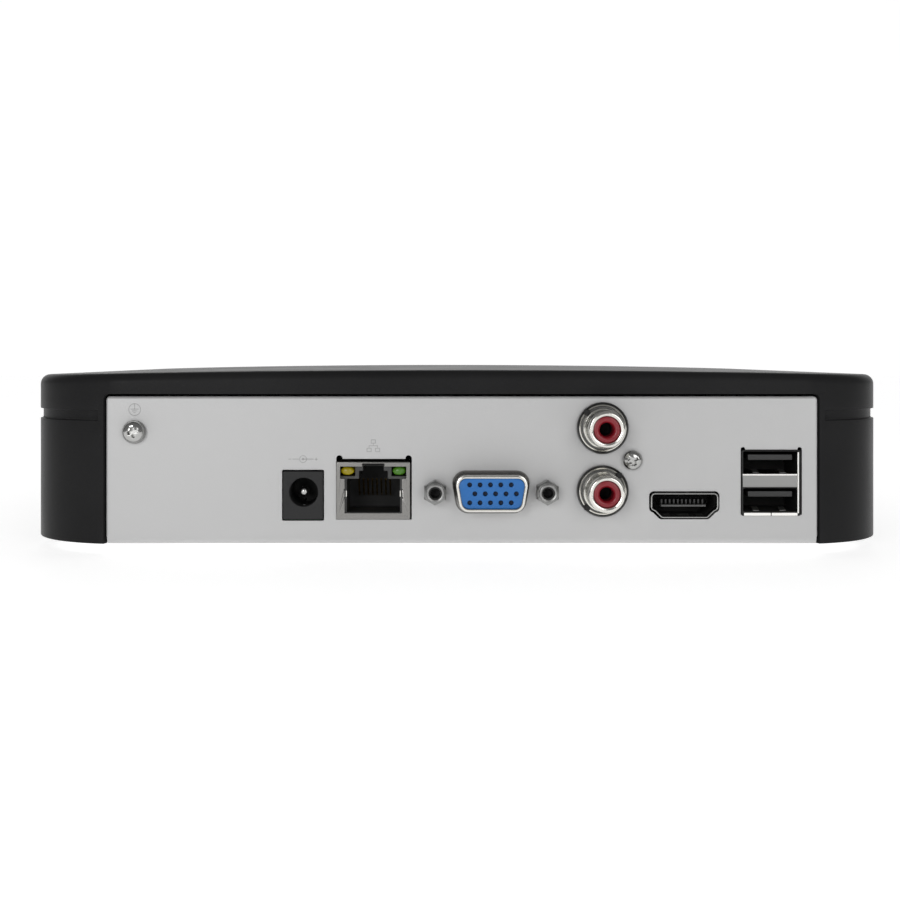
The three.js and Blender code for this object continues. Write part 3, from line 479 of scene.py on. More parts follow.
LAMP_YELLOW = finish_of("lamp_yellow", (0.28, 0.22, 0.0), 0.3, mottle=0.1, emission=0.05)
LAMP_GREEN = finish_of("lamp_green", (0.05, 0.17, 0.008), 0.3, mottle=0.1, emission=0.05)
LAMP_LIT = finish_of("lamp_lit", (0.12, 0.8, 0.2), 0.3, slot="lamp_green", emission=0.8)
WINDOW_CLEAR = finish_of("window_clear", (0.30, 0.32, 0.34), 0.25, coat=0.5, mottle=0.05)


# ---- camera, light and floor

CAMERA_ACROSS = -6.9
CAMERA_BACK = 337.0
CAMERA_UP = 42.0
CAMERA_LENS = 60.15
CAMERA_SHIFT = (0.0247, -0.1039)
# From where to where along y the sky turns bright, and its strength before and after.
SKY_SPAN = (0.5, 0.94, 0.22, 1.02)
# The floor and the lights are placed in metres.
FLOOR_HALF = 3.0
LIGHT_AIM = Vector((0, 0, 0.02))


def add_camera():
    data = bpy.data.cameras.new("camera")
    data.lens = CAMERA_LENS
    data.shift_x, data.shift_y = CAMERA_SHIFT
    data.clip_start = 0.01
    camera = bpy.data.objects.new("camera", data)
    camera.location = metres((CAMERA_ACROSS, -CAMERA_BACK, CAMERA_UP))
    camera.rotation_euler = (math.pi / 2, 0, 0)
    bpy.context.collection.objects.link(camera)
    bpy.context.scene.camera = camera


def add_light(name, place, size, power):
    data = bpy.data.lights.new(name, "AREA")
    data.shape = "RECTANGLE"
    data.size, data.size_y = size
    data.energy = power
    light = bpy.data.objects.new(name, data)
    light.location = place
    light.rotation_euler = (LIGHT_AIM - Vector(place)).to_track_quat("-Z", "Y").to_euler()
    bpy.context.collection.objects.link(light)


def add_floor():
    mesh = bpy.data.meshes.new("floor")
    mesh.from_pydata([(x, y, 0) for x, y in box_corners(FLOOR_HALF, FLOOR_HALF)], [], [(0, 1, 2, 3)])
    floor = bpy.data.objects.new("floor", mesh)
    bpy.context.collection.objects.link(floor)
    pale = finish_of("pale_floor", grey(0.88), 0.7, mottle=0.004, mottle_scale=5, emission=0.78)
    mesh.materials.append(pale)


def add_world():
    """A white sky behind the case, and a dimmer one all round."""
    world = bpy.data.worlds.new("studio")
    bpy.context.scene.world = world
    world.use_nodes = True
    tree = world.node_tree
    background = tree.nodes["Background"]
    background.inputs["Color"].default_value = (1, 1, 1, 1)
    direction = tree.nodes.new("ShaderNodeTexCoord")
    parts = tree.nodes.new("ShaderNodeSeparateXYZ")
    tree.links.new(direction.outputs["Generated"], parts.inputs["Vector"])
    map_range(tree, parts.outputs["Y"], background.inputs["Strength"], SKY_SPAN)


add_camera()
add_world()
add_floor()
add_light("key", place=(-0.34, -1.0, 0.24), size=(0.3, 0.35), power=2.2)
add_light("fill", place=(0.42, -1.0, 0.3), size=(0.4, 0.5), power=1.6)
bpy.context.scene.view_settings.view_transform = "Standard"

# ---- cover

GROOVE_STEP = 0.004
GROOVE_SOFT = 0.08
ABOVE_LIP = 34.5
BOSS_COUNT = 32
BOSS_RADIUS = 3.5
BOSS_BORE = 1.7
RIB_BOTTOM = 12
RIB_INNER = 93


def plan_point(station, inset):
    """A point of the case's plan outline. A station is a side or corner and how far along it."""
    part, share = station
    radius = max(CORNER_RADIUS - inset, 4.0)
    half_x = CASE_HALF - inset - radius
    half_y = (CASE_FRONT - CASE_REAR) / 2 - inset - radius
    corners = [(half_x, -half_y), (half_x, half_y), (-half_x, half_y), (-half_x, -half_y)]
    if part % 2:
        hub = corners[part // 2]
        angle = (part // 2 - 1 + share) * math.pi / 2
        return hub[0] + radius * math.cos(angle), CASE_MIDDLE + hub[1] + radius * math.sin(angle)
    start, end = corners[part // 2 - 1], corners[part // 2]
    outwards = [(0, -radius), (radius, 0), (0, radius), (-radius, 0)][part // 2]
    x = start[0] + (end[0] - start[0]) * share + outwards[0]
    y = start[1] + (end[1] - start[1]) * share + outwards[1]
    return x, CASE_MIDDLE + y


def corner_share(beyond):
    """How far round a rear corner a point lies that is beyond the straight part of the rear."""
    return math.asin(beyond / CORNER_RADIUS) / (math.pi / 2)


def side_stations():
    """Stations from the right of the opening round the front to its left, and whether in the groove."""
    first = corner_share(RIGHT_BEYOND + GROOVE_END)
    last = 1 - corner_share(LEFT_BEYOND + GROOVE_END)
    stations = [((1, first - GROOVE_STEP), False)]
    stations += [((1, first + (1 - first) * i / 22), True) for i in range(22)]
    for part in range(2, 7):
        steps = 24 if part % 2 else 16
        stations += [((part, i / steps), True) for i in range(steps)]
    stations += [((7, last * i / 22), True) for i in range(23)]
    return stations + [((7, last + GROOVE_STEP), False)]


def lip_stations():
    """Stations along the lip over the opening, between its two edges."""
    left, right = 1 - corner_share(LEFT_BEYOND), corner_share(RIGHT_BEYOND)
    stations = [(7, left + (1 - left) * i / 3) for i in range(1, 3)]
    stations += [(0, i / 30) for i in range(31)]
    return stations + [(1, right * i / 3) for i in range(1, 3)]


def opening_draw_in(z):
    """How far the round top corners of the opening draw its edges in at height z."""
    below = PANEL_TOP - z
    if below >= OPENING_ROUND:
        return 0.0
    return OPENING_ROUND - math.sqrt(max(OPENING_ROUND**2 - (OPENING_ROUND - below) ** 2, 0))


def cover_ring(inset, z, groove=0.0):
    """One level of the cover: left edge, lip, right edge, then round the sides."""
    drawn = opening_draw_in(min(z, PANEL_TOP))
    left = (7, 1 - corner_share(LEFT_BEYOND - drawn))
    right = (1, corner_share(RIGHT_BEYOND - drawn))
    ring = [plan_point(station, inset) for station in (left, *lip_stations(), right)]
    for station, grooved in side_stations():
        ring.append(plan_point(station, inset + (groove if grooved else 0)))
    return [(x, y, z) for x, y in ring]


def cover_levels():
    """(inset, height, groove depth) of the outer levels from the bottom edge up to the opening's top."""
    levels = [(0.3, 0.0, 0), (0.09, 0.09, 0), (0, 0.3, 0)]
    levels += [(0, z, 0) for z in (4, 9, 14, 19, 24)]
    half_soft, soft = 0.5 * GROOVE_SOFT, 2 * GROOVE_SOFT
    for z, upwards in ((GROOVE_LOW, 1), (GROOVE_HIGH, -1)):
        edge = [
            (0, z - upwards * soft, 0),
            (0, z - upwards * half_soft, 0.15 * GROOVE_DEPTH),
            (0, z + upwards * half_soft, 0.9 * GROOVE_DEPTH),
            (0, z + upwards * soft, GROOVE_DEPTH),
        ]
        levels += edge[::upwards]
    for angle in (0, 20, 40, 60, 75, 90):
        levels.append((0, PANEL_TOP - OPENING_ROUND * (1 - math.sin(math.radians(angle))), 0))
    return levels


def roof_lift(x):
    """The roof is crowned from side to side, its rear and front edges included."""
    return ROOF_CROWN * (1 - (x / CROWN_HALF) ** 2)


def roof_levels():
    """(inset, height) of the roof's round edge and its top, before the crown lifts them."""
    levels = []
    for i in range(9):
        angle = i / 8 * math.pi / 2
        levels.append((ROOF_FILLET * (1 - math.cos(angle)), SIDE_TOP - ROOF_FILLET * (1 - math.sin(angle))))
    return levels + [(inset, SIDE_TOP) for inset in (4, 7, 11, 16, 22, 30, 40, 52, 66, 82)]


def cover_shell():
    """An outer and an inner skin, joined round the bottom edge and round the opening."""
    lower = cover_levels()
    outer = [cover_ring(inset, z, groove) for inset, z, groove in lower]
    inner = [cover_ring(WALL, z) for _, z, _ in lower]
    opening_level = len(lower) - 1
    outer.append(cover_ring(0, ABOVE_LIP))
    for inset, z in roof_levels():
        outer.append([(x, y, high + roof_lift(x)) for x, y, high in cover_ring(inset, z)])
    ceiling = SIDE_TOP - WALL
    for inwards, below in ((0, 0.6), (0.2, 0.15), (0.6, 0)):
        inner.append(cover_ring(WALL + inwards, ceiling - below))
    count = len(outer[0])
    lip_end = len(lip_stations()) + 1
    vertices = [point for ring in outer + inner for point in ring]
    inner_start = len(outer) * count
    faces = []
    for start, rings in ((0, outer), (inner_start, inner)):
        for level in range(len(rings) - 1):
            for i in range(lip_end if level < opening_level else 0, count):
                j = (i + 1) % count
                low, high = start + level * count, start + (level + 1) * count
                faces.append((low + i, low + j, high + j, high + i))
        top = start + (len(rings) - 1) * count
        faces.append(tuple(range(top, top + count)))
    under = opening_level * count
    edges = [(i, (i + 1) % count) for i in range(lip_end, count)]
    edges += [(under + i, under + i + 1) for i in range(lip_end)]
    for edge in (0, lip_end):
        edges += [(level * count + edge, (level + 1) * count + edge) for level in range(opening_level)]
    faces += [(a, b, inner_start + b, inner_start + a) for a, b in edges]
    return vertices, faces


def groove_shade_strip(low, high):
    """A thin near-black strip lying on the groove's floor: painted shade standing for the gap of the seam
    there.
    """
    rings = []
    for station in [station for station, grooved in side_stations() if grooved]:
        front, back = plan_point(station, GROOVE_DEPTH - 0.03), plan_point(station, GROOVE_DEPTH + 0.3)
        rings.append([(*front, low), (*front, high), (*back, high), (*back, low)])
    return skin(rings)


def cover_boss(place):
    """A hollow post for a cover screw, with a rib to the side wall."""
    bottom, ceiling = SHEET + 0.3, SIDE_TOP - WALL + 0.3
    outside = upright([(BOSS_RADIUS, bottom), (BOSS_RADIUS, ceiling)], place, 0, BOSS_COUNT, LAST)
    bore = upright([(BOSS_BORE, bottom), (BOSS_BORE, RIB_BOTTOM)], place, 0, BOSS_COUNT, LAST)
    foot = skin([outside[0][:BOSS_COUNT], bore[0][:BOSS_COUNT]], NEITHER)
    side = 1 if place[0] > 0 else -1
    inner, outer = sorted((side * RIB_INNER, side * (CASE_HALF - WALL + 0.4)))
    rib = brick((inner, place[1] - 0.8, RIB_BOTTOM), (outer, place[1] + 0.8, ceiling), 0.1)
    return merged(outside, bore, foot, rib)


def add_cover():
    cover = add_mesh("cover_shell", COVER_BLACK, cover_shell(), node="top_cover", body="cover", sharp=50)
    soften(cover, 0.18, 2, 60)
    bosses = [cover_boss(node_plan(f"cover_screw_{i}")) for i in range(1, 5)]
    add_mesh("cover_bosses", COVER_BLACK, *bosses, node="top_cover", body="cover")
    # The seam along the groove is a near-black strip: painted shade of its gap.
    seam = groove_shade_strip(GROOVE_LOW + 0.02, GROOVE_LOW + 0.3)
    add_mesh("cover_seam_shade", BLACK_AND_SHADE, seam, node="top_cover", body="cover")


def add_front_window():
    """The clear window in the groove at the front, with three lit marks."""
    low, high = case_box("indicator_window")
    outline = rounded(box_corners((high.x - low.x) / 2, (high.z - low.z) / 2), 0.5)
    middle = (0, (low.z + high.z) / 2)
    window = skin([
        placed(outline, low.y, middle),
        placed(outline, high.y - 0.1, middle),
        placed(shrunk(outline, 0.03), high.y - 0.03, middle),
        placed(shrunk(outline, 0.1), high.y, middle),
    ])
    add_mesh("front_window", WINDOW_CLEAR, window, node="indicator_window", body="cover")
    for i in (-1, 0, 1):
        lit = prism(pad(1.5, 0.28, 0.27), (high.y - 0.2, high.y + 0.02), BOTH, (i * 12, middle[1]))
        add_mesh(f"front_mark_{i + 2}", LAMP_LIT, lit, body="cover")


# ---- socket panel and tray

FOLD_BEND = 1.2
PANEL_SOFT = 0.6
TRAY_BEND = 1.5
TRAY_RIM = 8.0
TRAY_INSET = WALL + PANEL_GAP
ARC = [math.radians(angle) for angle in range(0, 91, 15)]


def notched(half_width, half_height, rise=0.1, notch=0.7):
    """A rectangular cut-out with a round relief in its upper corners."""
    right = []
    for i in range(11):
        angle = math.radians(188 * i / 10)
        x, z = half_width - notch + notch * math.cos(angle), half_height + rise + notch * math.sin(angle)
        right.append((x, z))
    left = [(-x, z) for x, z in right[::-1]]
    return [(-half_width, -half_height), (half_width, -half_height), *right, *left]


def video_corners(width, height):
    """Corners of a shape with slanted sides, wider at the top."""
    lean = height * math.tan(math.radians(10))
    half = width / 2
    return [(-half + lean, -height / 2), (half - lean, -height / 2), (half, height / 2), (-half, height / 2)]


def digital_corners(width, height):
    """Upright sides with a small step, then slanted lower corners."""
    half, low = width / 2, -height / 2
    right = [(half - 2.4, low), (half - 0.9, low + 1.5), (half, low + 1.9), (half, height / 2)]
    left = [(-x, z) for x, z in right[::-1]]
    return left[-1:] + right + left[:-1]


def add_socket_panel():
    left, right = PANEL_LEFT + PANEL_GAP, PANEL_RIGHT - PANEL_GAP
    top = PANEL_TOP - PANEL_GAP
    corners = [(left, FOLD_BEND), (right, FOLD_BEND), (right, top), (left, top)]
    outline = rounded(corners, [0.65, 0.65, 0.9, 0.9])
    holes = [
        pad(4.7, 5.7, 0.3, POWER),
        moved(notched(8.45, 6.8), (NETWORK[0] + 0.15, NETWORK[1] + 0.3)),
        moved(rounded(video_corners(17.6, 9.4), 2.6, 0, 8), VIDEO),
        moved(rounded(digital_corners(15.75, 6.25), 1.0, 0, 5), DIGITAL),
        moved(notched(6.85, 7.15, 0.35, 0.5), (USB[0] + 0.1, USB[1] + 0.1)),
        moved(circle(2.0), EARTH),
        moved(circle(1.9), PANEL_SCREW),
    ]
    holes += [moved(circle(1.8), place) for place in JACK_SCREWS]
    holes += [moved(circle(4.6, 64), place) for place in AUDIO]
    sheet = slab(outline, holes, 0, SHEET, PANEL_SOFT, 0.06)
    add_mesh("socket_panel", PANEL_GREY, sheet, node="base_chassis")
    bend, inner = FOLD_BEND, FOLD_BEND - SHEET
    profile = [(-0.01, bend + PANEL_SOFT + 0.05)]
    profile += [(bend - bend * math.cos(a) - 0.01, bend - bend * math.sin(a)) for a in ARC]
    profile += [(3.0, 0), (3.0, SHEET)]
    profile += [(bend - inner * math.cos(a), bend - inner * math.sin(a)) for a in ARC[::-1]]
    fold = skin([[(x, y, z) for y, z in profile] for x in (left + 0.3, right - 0.3)])
    add_mesh("panel_fold", PANEL_GREY, fold, node="base_chassis")


def add_tray_floor():
    holes = []
    for row in (-52, 30):
        holes += [pad(1.1, 9, 1.05, (-8 + i * 9, row + MIDDLE_Y)) for i in range(-3, 4)]
    for kind in ("drive_screw", "cover_screw"):
        holes += [moved(circle(2, 24), node_plan(f"{kind}_{i}")) for i in range(1, 5)]
    outline = []
    for part in range(8):
        steps = 14 if part % 2 else 1
        outline += [plan_point((part, i / steps), TRAY_INSET + TRAY_BEND) for i in range(steps)]
    floor = flat_sheet(outline, holes, 0, SHEET)
    add_mesh("tray_floor", PANEL_GREY, floor, node="base_chassis")


def add_tray_rim():
    bend, rim, inner = TRAY_BEND, TRAY_RIM, TRAY_BEND - SHEET
    profile = [(bend - bend * math.sin(a), bend - bend * math.cos(a)) for a in ARC]
    profile += [(0, rim - 0.1), (0.1, rim), (SHEET - 0.1, rim), (SHEET, rim - 0.1)]
    profile += [(bend - inner * math.sin(a), bend - inner * math.cos(a)) for a in ARC[::-1]]
    first, last = corner_share(RIGHT_BEYOND - 1), 1 - corner_share(LEFT_BEYOND - 1)
    stations = [(1, first + (1 - first) * i / 14) for i in range(14)]
    for part in range(2, 7):
        steps = 14 if part % 2 else 1
        stations += [(part, i / steps) for i in range(steps)]
    stations += [(7, last * i / 14) for i in range(15)]
    rings = []
    for station in stations:
        rings.append([(*plan_point(station, TRAY_INSET + inwards), z) for inwards, z in profile])
    add_mesh("tray_rim", PANEL_GREY, skin(rings), node="base_chassis")


def add_tray_fittings():
    post = [(3.4, SHEET), (3.0, SHEET + 0.4), (3.0, 3.1), (2.8, 3.3), (1.75, 3.3), (1.75, SHEET)]
    seat = [(4.6, SHEET), (3.9, 1.4), (3.6, 2.2), (3.4, 2.5), (2, 2.5), (2, SHEET)]
    for i in range(1, 5):
        for under, name, profile in (("board", "board_post", post), ("drive", "drive_seat", seat)):
            part = upright(profile, node_plan(f"{under}_screw_{i}"), 0)
            add_mesh(f"{name}_{i}", PANEL_GREY, part, node="base_chassis")
    front = CASE_FRONT - TRAY_INSET
    bracket = brick((-22, front - SHEET, TRAY_RIM - 0.1), (22, front, 24), 0.3)
    add_mesh("indicator_bracket", PANEL_GREY, bracket, node="base_chassis")
    nut = turned([(2.0, SHEET), (3.4, SHEET), (3.4, 2.7), (3.1, 3.0), (2.0, 3.0)], EARTH, 32, LOOP)
    add_mesh("earth_nut", SCREW_METAL, nut, node="base_chassis")
    profile = [
        (0, 0.5), (3.0, 0.5), (5.2, 0.1), (6.4, 0), (6.85, 0.15), (7, 0.6), (6.6, 2.1), (6.4, 2.2), (0, 2.2),
    ]
    for i in range(1, 5):
        node = f"rubber_foot_{i}"
        foot = upright(profile, node_plan(node), case_box(node)[0].z)
        add_mesh(f"foot_{i}", FOOT_RUBBER, foot, node=node)


# ---- screws


def screw_head(radius, height, turn=0.0):
    """A pan head with a cross recess about the y axis, its seat at 0 and its top at -height."""
    long, wide = radius * 0.62, radius * 0.15
    arm = [(long, -wide), (long, wide), (wide * 1.3, wide * 1.3)]
    recess = [rotated(rotated(point, quarter * math.pi / 2), turn) for quarter in range(4) for point in arm]
    top = slab(circle(radius), [recess], -height, -height * 0.35, height * 0.6, 0.05)
    domed = []
    for x, y, z in top[0]:
        drop = height * 0.18 * (math.hypot(x, z) / radius) ** 2
        domed.append((x, y + drop if y < -height * 0.6 else y, z))
    pit = skin([placed(recess, -height * 0.8), placed(shrunk(recess, 0.08), -height * 0.05)], LAST)
    side = turned([(radius, -height * 0.35), (radius, -0.12), (radius - 0.12, 0)], (0, 0), 48, LAST)
    return merged((domed, top[1]), pit, side)


def shank(radius, length):
    """A screw shank with shallow thread rings, from 0 inwards."""
    pitch = 0.7
    profile = []
    for i in range(int(length / pitch)):
        profile += [(radius, i * pitch), (radius * 0.82, (i + 0.5) * pitch)]
    return turned([*profile, (radius * 0.6, length)], (0, 0), 20)


def facing(part, place, seat, direction):
    """Moves a screw built about the y axis: out of the panel, up or down."""
    vertices, faces = part
    across, along = place
    if direction == "out":
        return [(across + x, seat + y, along + z) for x, y, z in vertices], faces
    if direction == "up":
        return [(across + x, along + z, seat - y) for x, y, z in vertices], faces
    return [(across + x, along - z, seat + y) for x, y, z in vertices], faces


def add_screws():
    earth_seat = case_box("earth_washer")[0].y
    length = case_box("earth_screw")[1].y - earth_seat
    screw = facing(merged(screw_head(2.4, 1.9, 0.2), shank(1.5, length)), EARTH, earth_seat, "out")
    add_mesh("earth_screw_body", SCREW_METAL, screw, node="earth_screw", body="earth_screw")
    ring = [(1.9, 0.0), (1.9, -0.5), (2.0, -0.6), (2.5, -0.6), (2.6, -0.5), (2.6, -0.08), (2.5, 0)]
    washer = facing(turned(ring, (0, 0), 64, LOOP), EARTH, earth_seat + 0.6, "out")
    add_mesh("earth_washer_ring", SATIN_METAL, washer, node="earth_washer", body="earth_washer")
    fixed = facing(merged(screw_head(2.2, 1.6, 0.45), shank(1.45, 8)), PANEL_SCREW, -HEAD_SEAT, "out")
    add_mesh("panel_screw_body", SCREW_METAL, fixed, node="panel_screw")
    turn = random.Random(4)
    for kind, radius, height, thread, reach, direction in (
        ("board_screw", 2.7, 1.7, 1.45, 3.6, "up"),
        ("drive_screw", 2.9, 1.6, 1.45, 6, "down"),
        ("cover_screw", 2.9, 1.6, 1.35, 10, "down"),
    ):
        for i in range(1, 5):
            node = f"{kind}_{i}"
            low, high = case_box(node)
            seat = high.z - height if direction == "up" else low.z + height
            part = merged(screw_head(radius, height, turn.uniform(0, 1.5)), shank(thread, reach))
            add_mesh(f"{node}_body", SCREW_METAL, facing(part, node_plan(node), seat, direction), node=node)


add_cover()
add_front_window()
add_socket_panel()
add_tray_floor()
add_tray_rim()
add_tray_fittings()
add_screws()

# ---- power inlet

POWER_HALF = (4.5, 5.4)
POWER_BORE = 3.17


def add_power_inlet():
    node = "power_inlet_housing"
    low, high = case_box(node)
    front, shoulder = low.y, low.y + 0.9
    pin = centre("power_inlet_pin")
    outline = pad(*POWER_HALF, 0.35, POWER)
    face = slab(outline, [moved(circle(POWER_BORE, 64), pin)], front, shoulder, 0.2, 0.25)
    add_mesh("power_housing", SOCKET_BLACK, face, prism(outline, (shoulder, high.y)), node=node)
    # The bore's wall is drawn near-black: painted shade inside the hole.
    bore = [(POWER_BORE, front + 0.8), (POWER_BORE, 7.0), (2.9, 9.5), (0, 9.5)]
    add_mesh("power_bore", BLACK_AND_SHADE, turned(bore, pin, 64, NEITHER), node=node)
    tip = [(0.0, 0.5), (0.35, 0.52), (0.65, 0.66), (0.88, 0.95), (1.0, 1.35), (1.0, 9.6), (0, 9.6)]
    add_mesh("power_pin", SCREW_METAL, turned(tip, pin, 40), node="power_inlet_pin")
    x, foot = pin[0], pin[1] - 3.1
    # The spring low in the bore is drawn in the darker metal: painted shade.
    spring = blade([(x, 1.6, foot), (x, 2.6, foot + 0.5), (x, 6, foot + 0.9)], 0.25)
    add_mesh("power_spring", SHADE_METAL, spring, node=node)


# ---- network socket

NETWORK_HALF = (8.25, 6.45)
CONTACT_PITCH = 1.02
# Right-hand halves of the outlines of the shell's opening and of the cavity behind it, listed upwards.
PORT_SIDE = [
    (6.4, -5), (6.4, -1.75), (6.75, -1.6), (6.4, -1.4), (6.4, 0.05), (6.75, 0.25), (6.4, 0.4), (6.4, 2.7),
    (7.4, 2.7), (7.4, 5.4), (2.5, 5.4), (2.5, 6.1),
]
CAVITY_SIDE = [(5.95, -4.85), (5.95, 2.6), (3.2, 2.6), (3.2, 4.4), (2.3, 4.4), (2.3, 5.6)]


def mirrored(side):
    """A closed outline from its right-hand half."""
    return side + [(-x, z) for x, z in side[::-1]]


def add_network_socket():
    shield, insert = "network_shield", "network_insert"
    low, high = case_box(shield)
    front = low.y
    x, z = NETWORK
    lamps = [centre("network_lamp_left"), centre("network_lamp_right")]
    corners = box_corners(*NETWORK_HALF)
    port = moved(rounded(mirrored(PORT_SIDE), 0.08, 0, 2), NETWORK)
    face = slab(moved(rounded(corners, 0.35), NETWORK), [port], front, front + 0.35, 0.12, 0.06)
    wall = swept(corners, NETWORK, [(0, front + 0.3), (0, high.y), (-0.3, high.y), (-0.3, front + 0.3)])
    add_mesh("network_shell", SHELL_METAL, face, wall, node=shield)
    cavity = moved(rounded(mirrored(CAVITY_SIDE), 0.15, 0, 2), NETWORK)
    seats = [pad(1.7, 1.15, 0.15, place, 3) for place in lamps]
    block = slab(pad(7.6, 6.0, 0.2, (x, z - 0.2)), [cavity, *seats], 0.2, 13.5, 0.1, 0.15)
    back = brick((x - 7.5, 13.4, z - 6.1), (x + 7.5, 14.8, z + 5.7))
    add_mesh("network_block", INSERT_BLACK, block, back, node=insert)
    # A near-black sheet just inside the cavity walls: painted shade in the cavity.
    add_mesh("network_cavity_shade", BLACK_AND_SHADE, prism(shrunk(cavity, 0.03), (1.0, 13.0)), node=insert)
    contacts = []
    for i in range(8):
        across = x + (i - 3.5) * CONTACT_PITCH
        path = [(across, y, z + up) for y, up in ((7.6, 2.0), (8.4, 1.4), (10.8, -1.4), (12.6, -2.0))]
        contacts.append(tube(path, 0.2, 8))
    add_mesh("network_contacts", GOLD, *contacts, node=insert)
    springs = []
    for side in (-1, 1):
        rings = []
        for lean, y in ((6.05, front + 0.2), (6.2, 0.4), (6.7, 2.0), (6.9, 5.0)):
            left, right = x + side * lean - 0.1, x + side * lean + 0.1
            rings.append([(left, y, z - 1.35), (right, y, z - 1.35), (right, y, z), (left, y, z)])
        springs.append(skin(rings))
    add_mesh("network_springs", PLATED, *springs, node=shield)
    profile = [(0, 0.0), (0.4, 0.05), (0.72, 0.22), (0.9, 0.5), (0.95, 0.9), (0.95, 5.5), (0, 5.5)]
    vertices, faces = turned(profile, (0, 0), 40)
    for side, place, finish in zip(("left", "right"), lamps, (LAMP_YELLOW, LAMP_GREEN)):
        lens = [(place[0] + x * 1.6, y + front + 0.3, place[1] + z) for x, y, z in vertices]
        add_mesh(f"network_lens_{side}", finish, (lens, faces), node=f"network_lamp_{side}")


# ---- analogue video socket

PIN_RADIUS = 0.53
PIN_ACROSS, PIN_UP = 2.29, 1.98
HEXAGON_RADIUS = 2.8


def add_video_socket():
    shell, insulator = "video_shell", "video_insulator"
    corners = video_corners(17.4, 8.7)
    x, z = VIDEO
    front = case_box(shell)[0].y
    skirt = [
        (0.5, 1.0), (0.45, 0.4), (0.44, -0.6), (0.32, -1.0), (0.05, -1.3), (-0.16, -1.45), (-0.26, -1.8),
        (-0.26, front + 0.6),
    ]
    lip = [
        (-0.26, front + 0.65), (-0.28, front + 0.3), (-0.36, front + 0.08), (-0.55, front),
        (-0.8, front + 0.02), (-0.95, front + 0.15), (-1.02, front + 0.5), (-1.02, 1.4),
    ]
    # The skirt is drawn in a darker metal than the plated rim: painted shade on the shell's sloped outer
    # side.
    add_mesh("video_skirt", SHELL_METAL, swept(corners, VIDEO, skirt, 2.5, 8), node=shell)
    add_mesh("video_rim", PLATED, swept(corners, VIDEO, lip, 2.5, 8), node=shell)
    hole = moved(rounded(corners, 2.5, -0.2, 8), VIDEO)
    add_mesh("video_plate", PLATED, slab(pad(15.4, 6.1, 1.0, VIDEO), [hole], 1.1, 1.7), node=shell)
    face = front + 0.55
    outline = moved(rounded(video_corners(15.6, 6.9), 1.95, -0.12, 8), VIDEO)
    pin_holes, pits = [], []
    for row, shift in ((-1, -0.32), (0, 0.83), (1, -0.32)):
        for column in range(-2, 3):
            place = (x + column * PIN_ACROSS + shift, z + row * PIN_UP)
            pin_holes.append(moved(circle(PIN_RADIUS, 20), place))
            pit = [(PIN_RADIUS, face + 0.3), (0.5, face + 1.3), (0, face + 1.3)]
            pits.append(turned(pit, place, 20, NEITHER))
    moulding = slab(outline, pin_holes, face, face + 0.5, 0.15, 0.09)
    sides = prism(outline, (face + 0.4, 2.0))
    body = brick((x - 15.4, 2.0, z - 6.1), (x + 15.4, 9.0, z + 6.1), 0.4)
    add_mesh("video_face", VIDEO_BLUE, moulding, sides, body, node=insulator)
    # The pin holes' walls are drawn in the darker blue: painted shade.
    add_mesh("video_pits", SHADE_BLUE, *pits, node=insulator)
    for side, place in zip(("left", "right"), JACK_SCREWS):
        add_jack_screw(side, place)


def hexagon(limit):
    """A hexagon cut back to a circle of the limit's radius."""
    sector = math.pi / 3
    outline = []
    for i in range(48):
        angle = TAU * i / 48
        local = (angle + sector / 2) % sector - sector / 2
        radius = min(HEXAGON_RADIUS * math.cos(sector / 2) / math.cos(local), limit)
        outline.append((radius * math.cos(angle), radius * math.sin(angle)))
    return outline


def add_jack_screw(side, place):
    """A hexagonal standoff with a round threaded front, and its bore."""
    rings = [(circle(1.4), 6.0), (circle(1.4), -0.25)]
    rings += [(hexagon(r), y) for r, y in ((2.5, -0.3), (2.8, -0.6), (2.8, -3.2), (2.5, -3.6), (2.2, -3.8))]
    rings += [(circle(r), y) for r, y in (
        (2.05, -3.85), (2.1, -4.1), (2.1, -4.7), (1.98, -4.93), (1.8, -5.0), (1.5, -4.9), (1.1, -4.3),
    )]
    screw = skin([placed(outline, y, place) for outline, y in rings], FIRST)
    add_mesh(f"jack_screw_{side}", SATIN_METAL, screw, node=f"video_jack_screw_{side}")
    # A near-black wall and floor deep in the standoff's hole: painted shade.
    bore = turned([(1.12, -4.35), (1.0, -1.0), (0, -0.9)], place, 48, NEITHER)
    add_mesh(f"jack_bore_{side}", BLACK_AND_SHADE, bore, node=f"video_jack_screw_{side}")


# ---- audio sockets

KEY_RING = 5.05


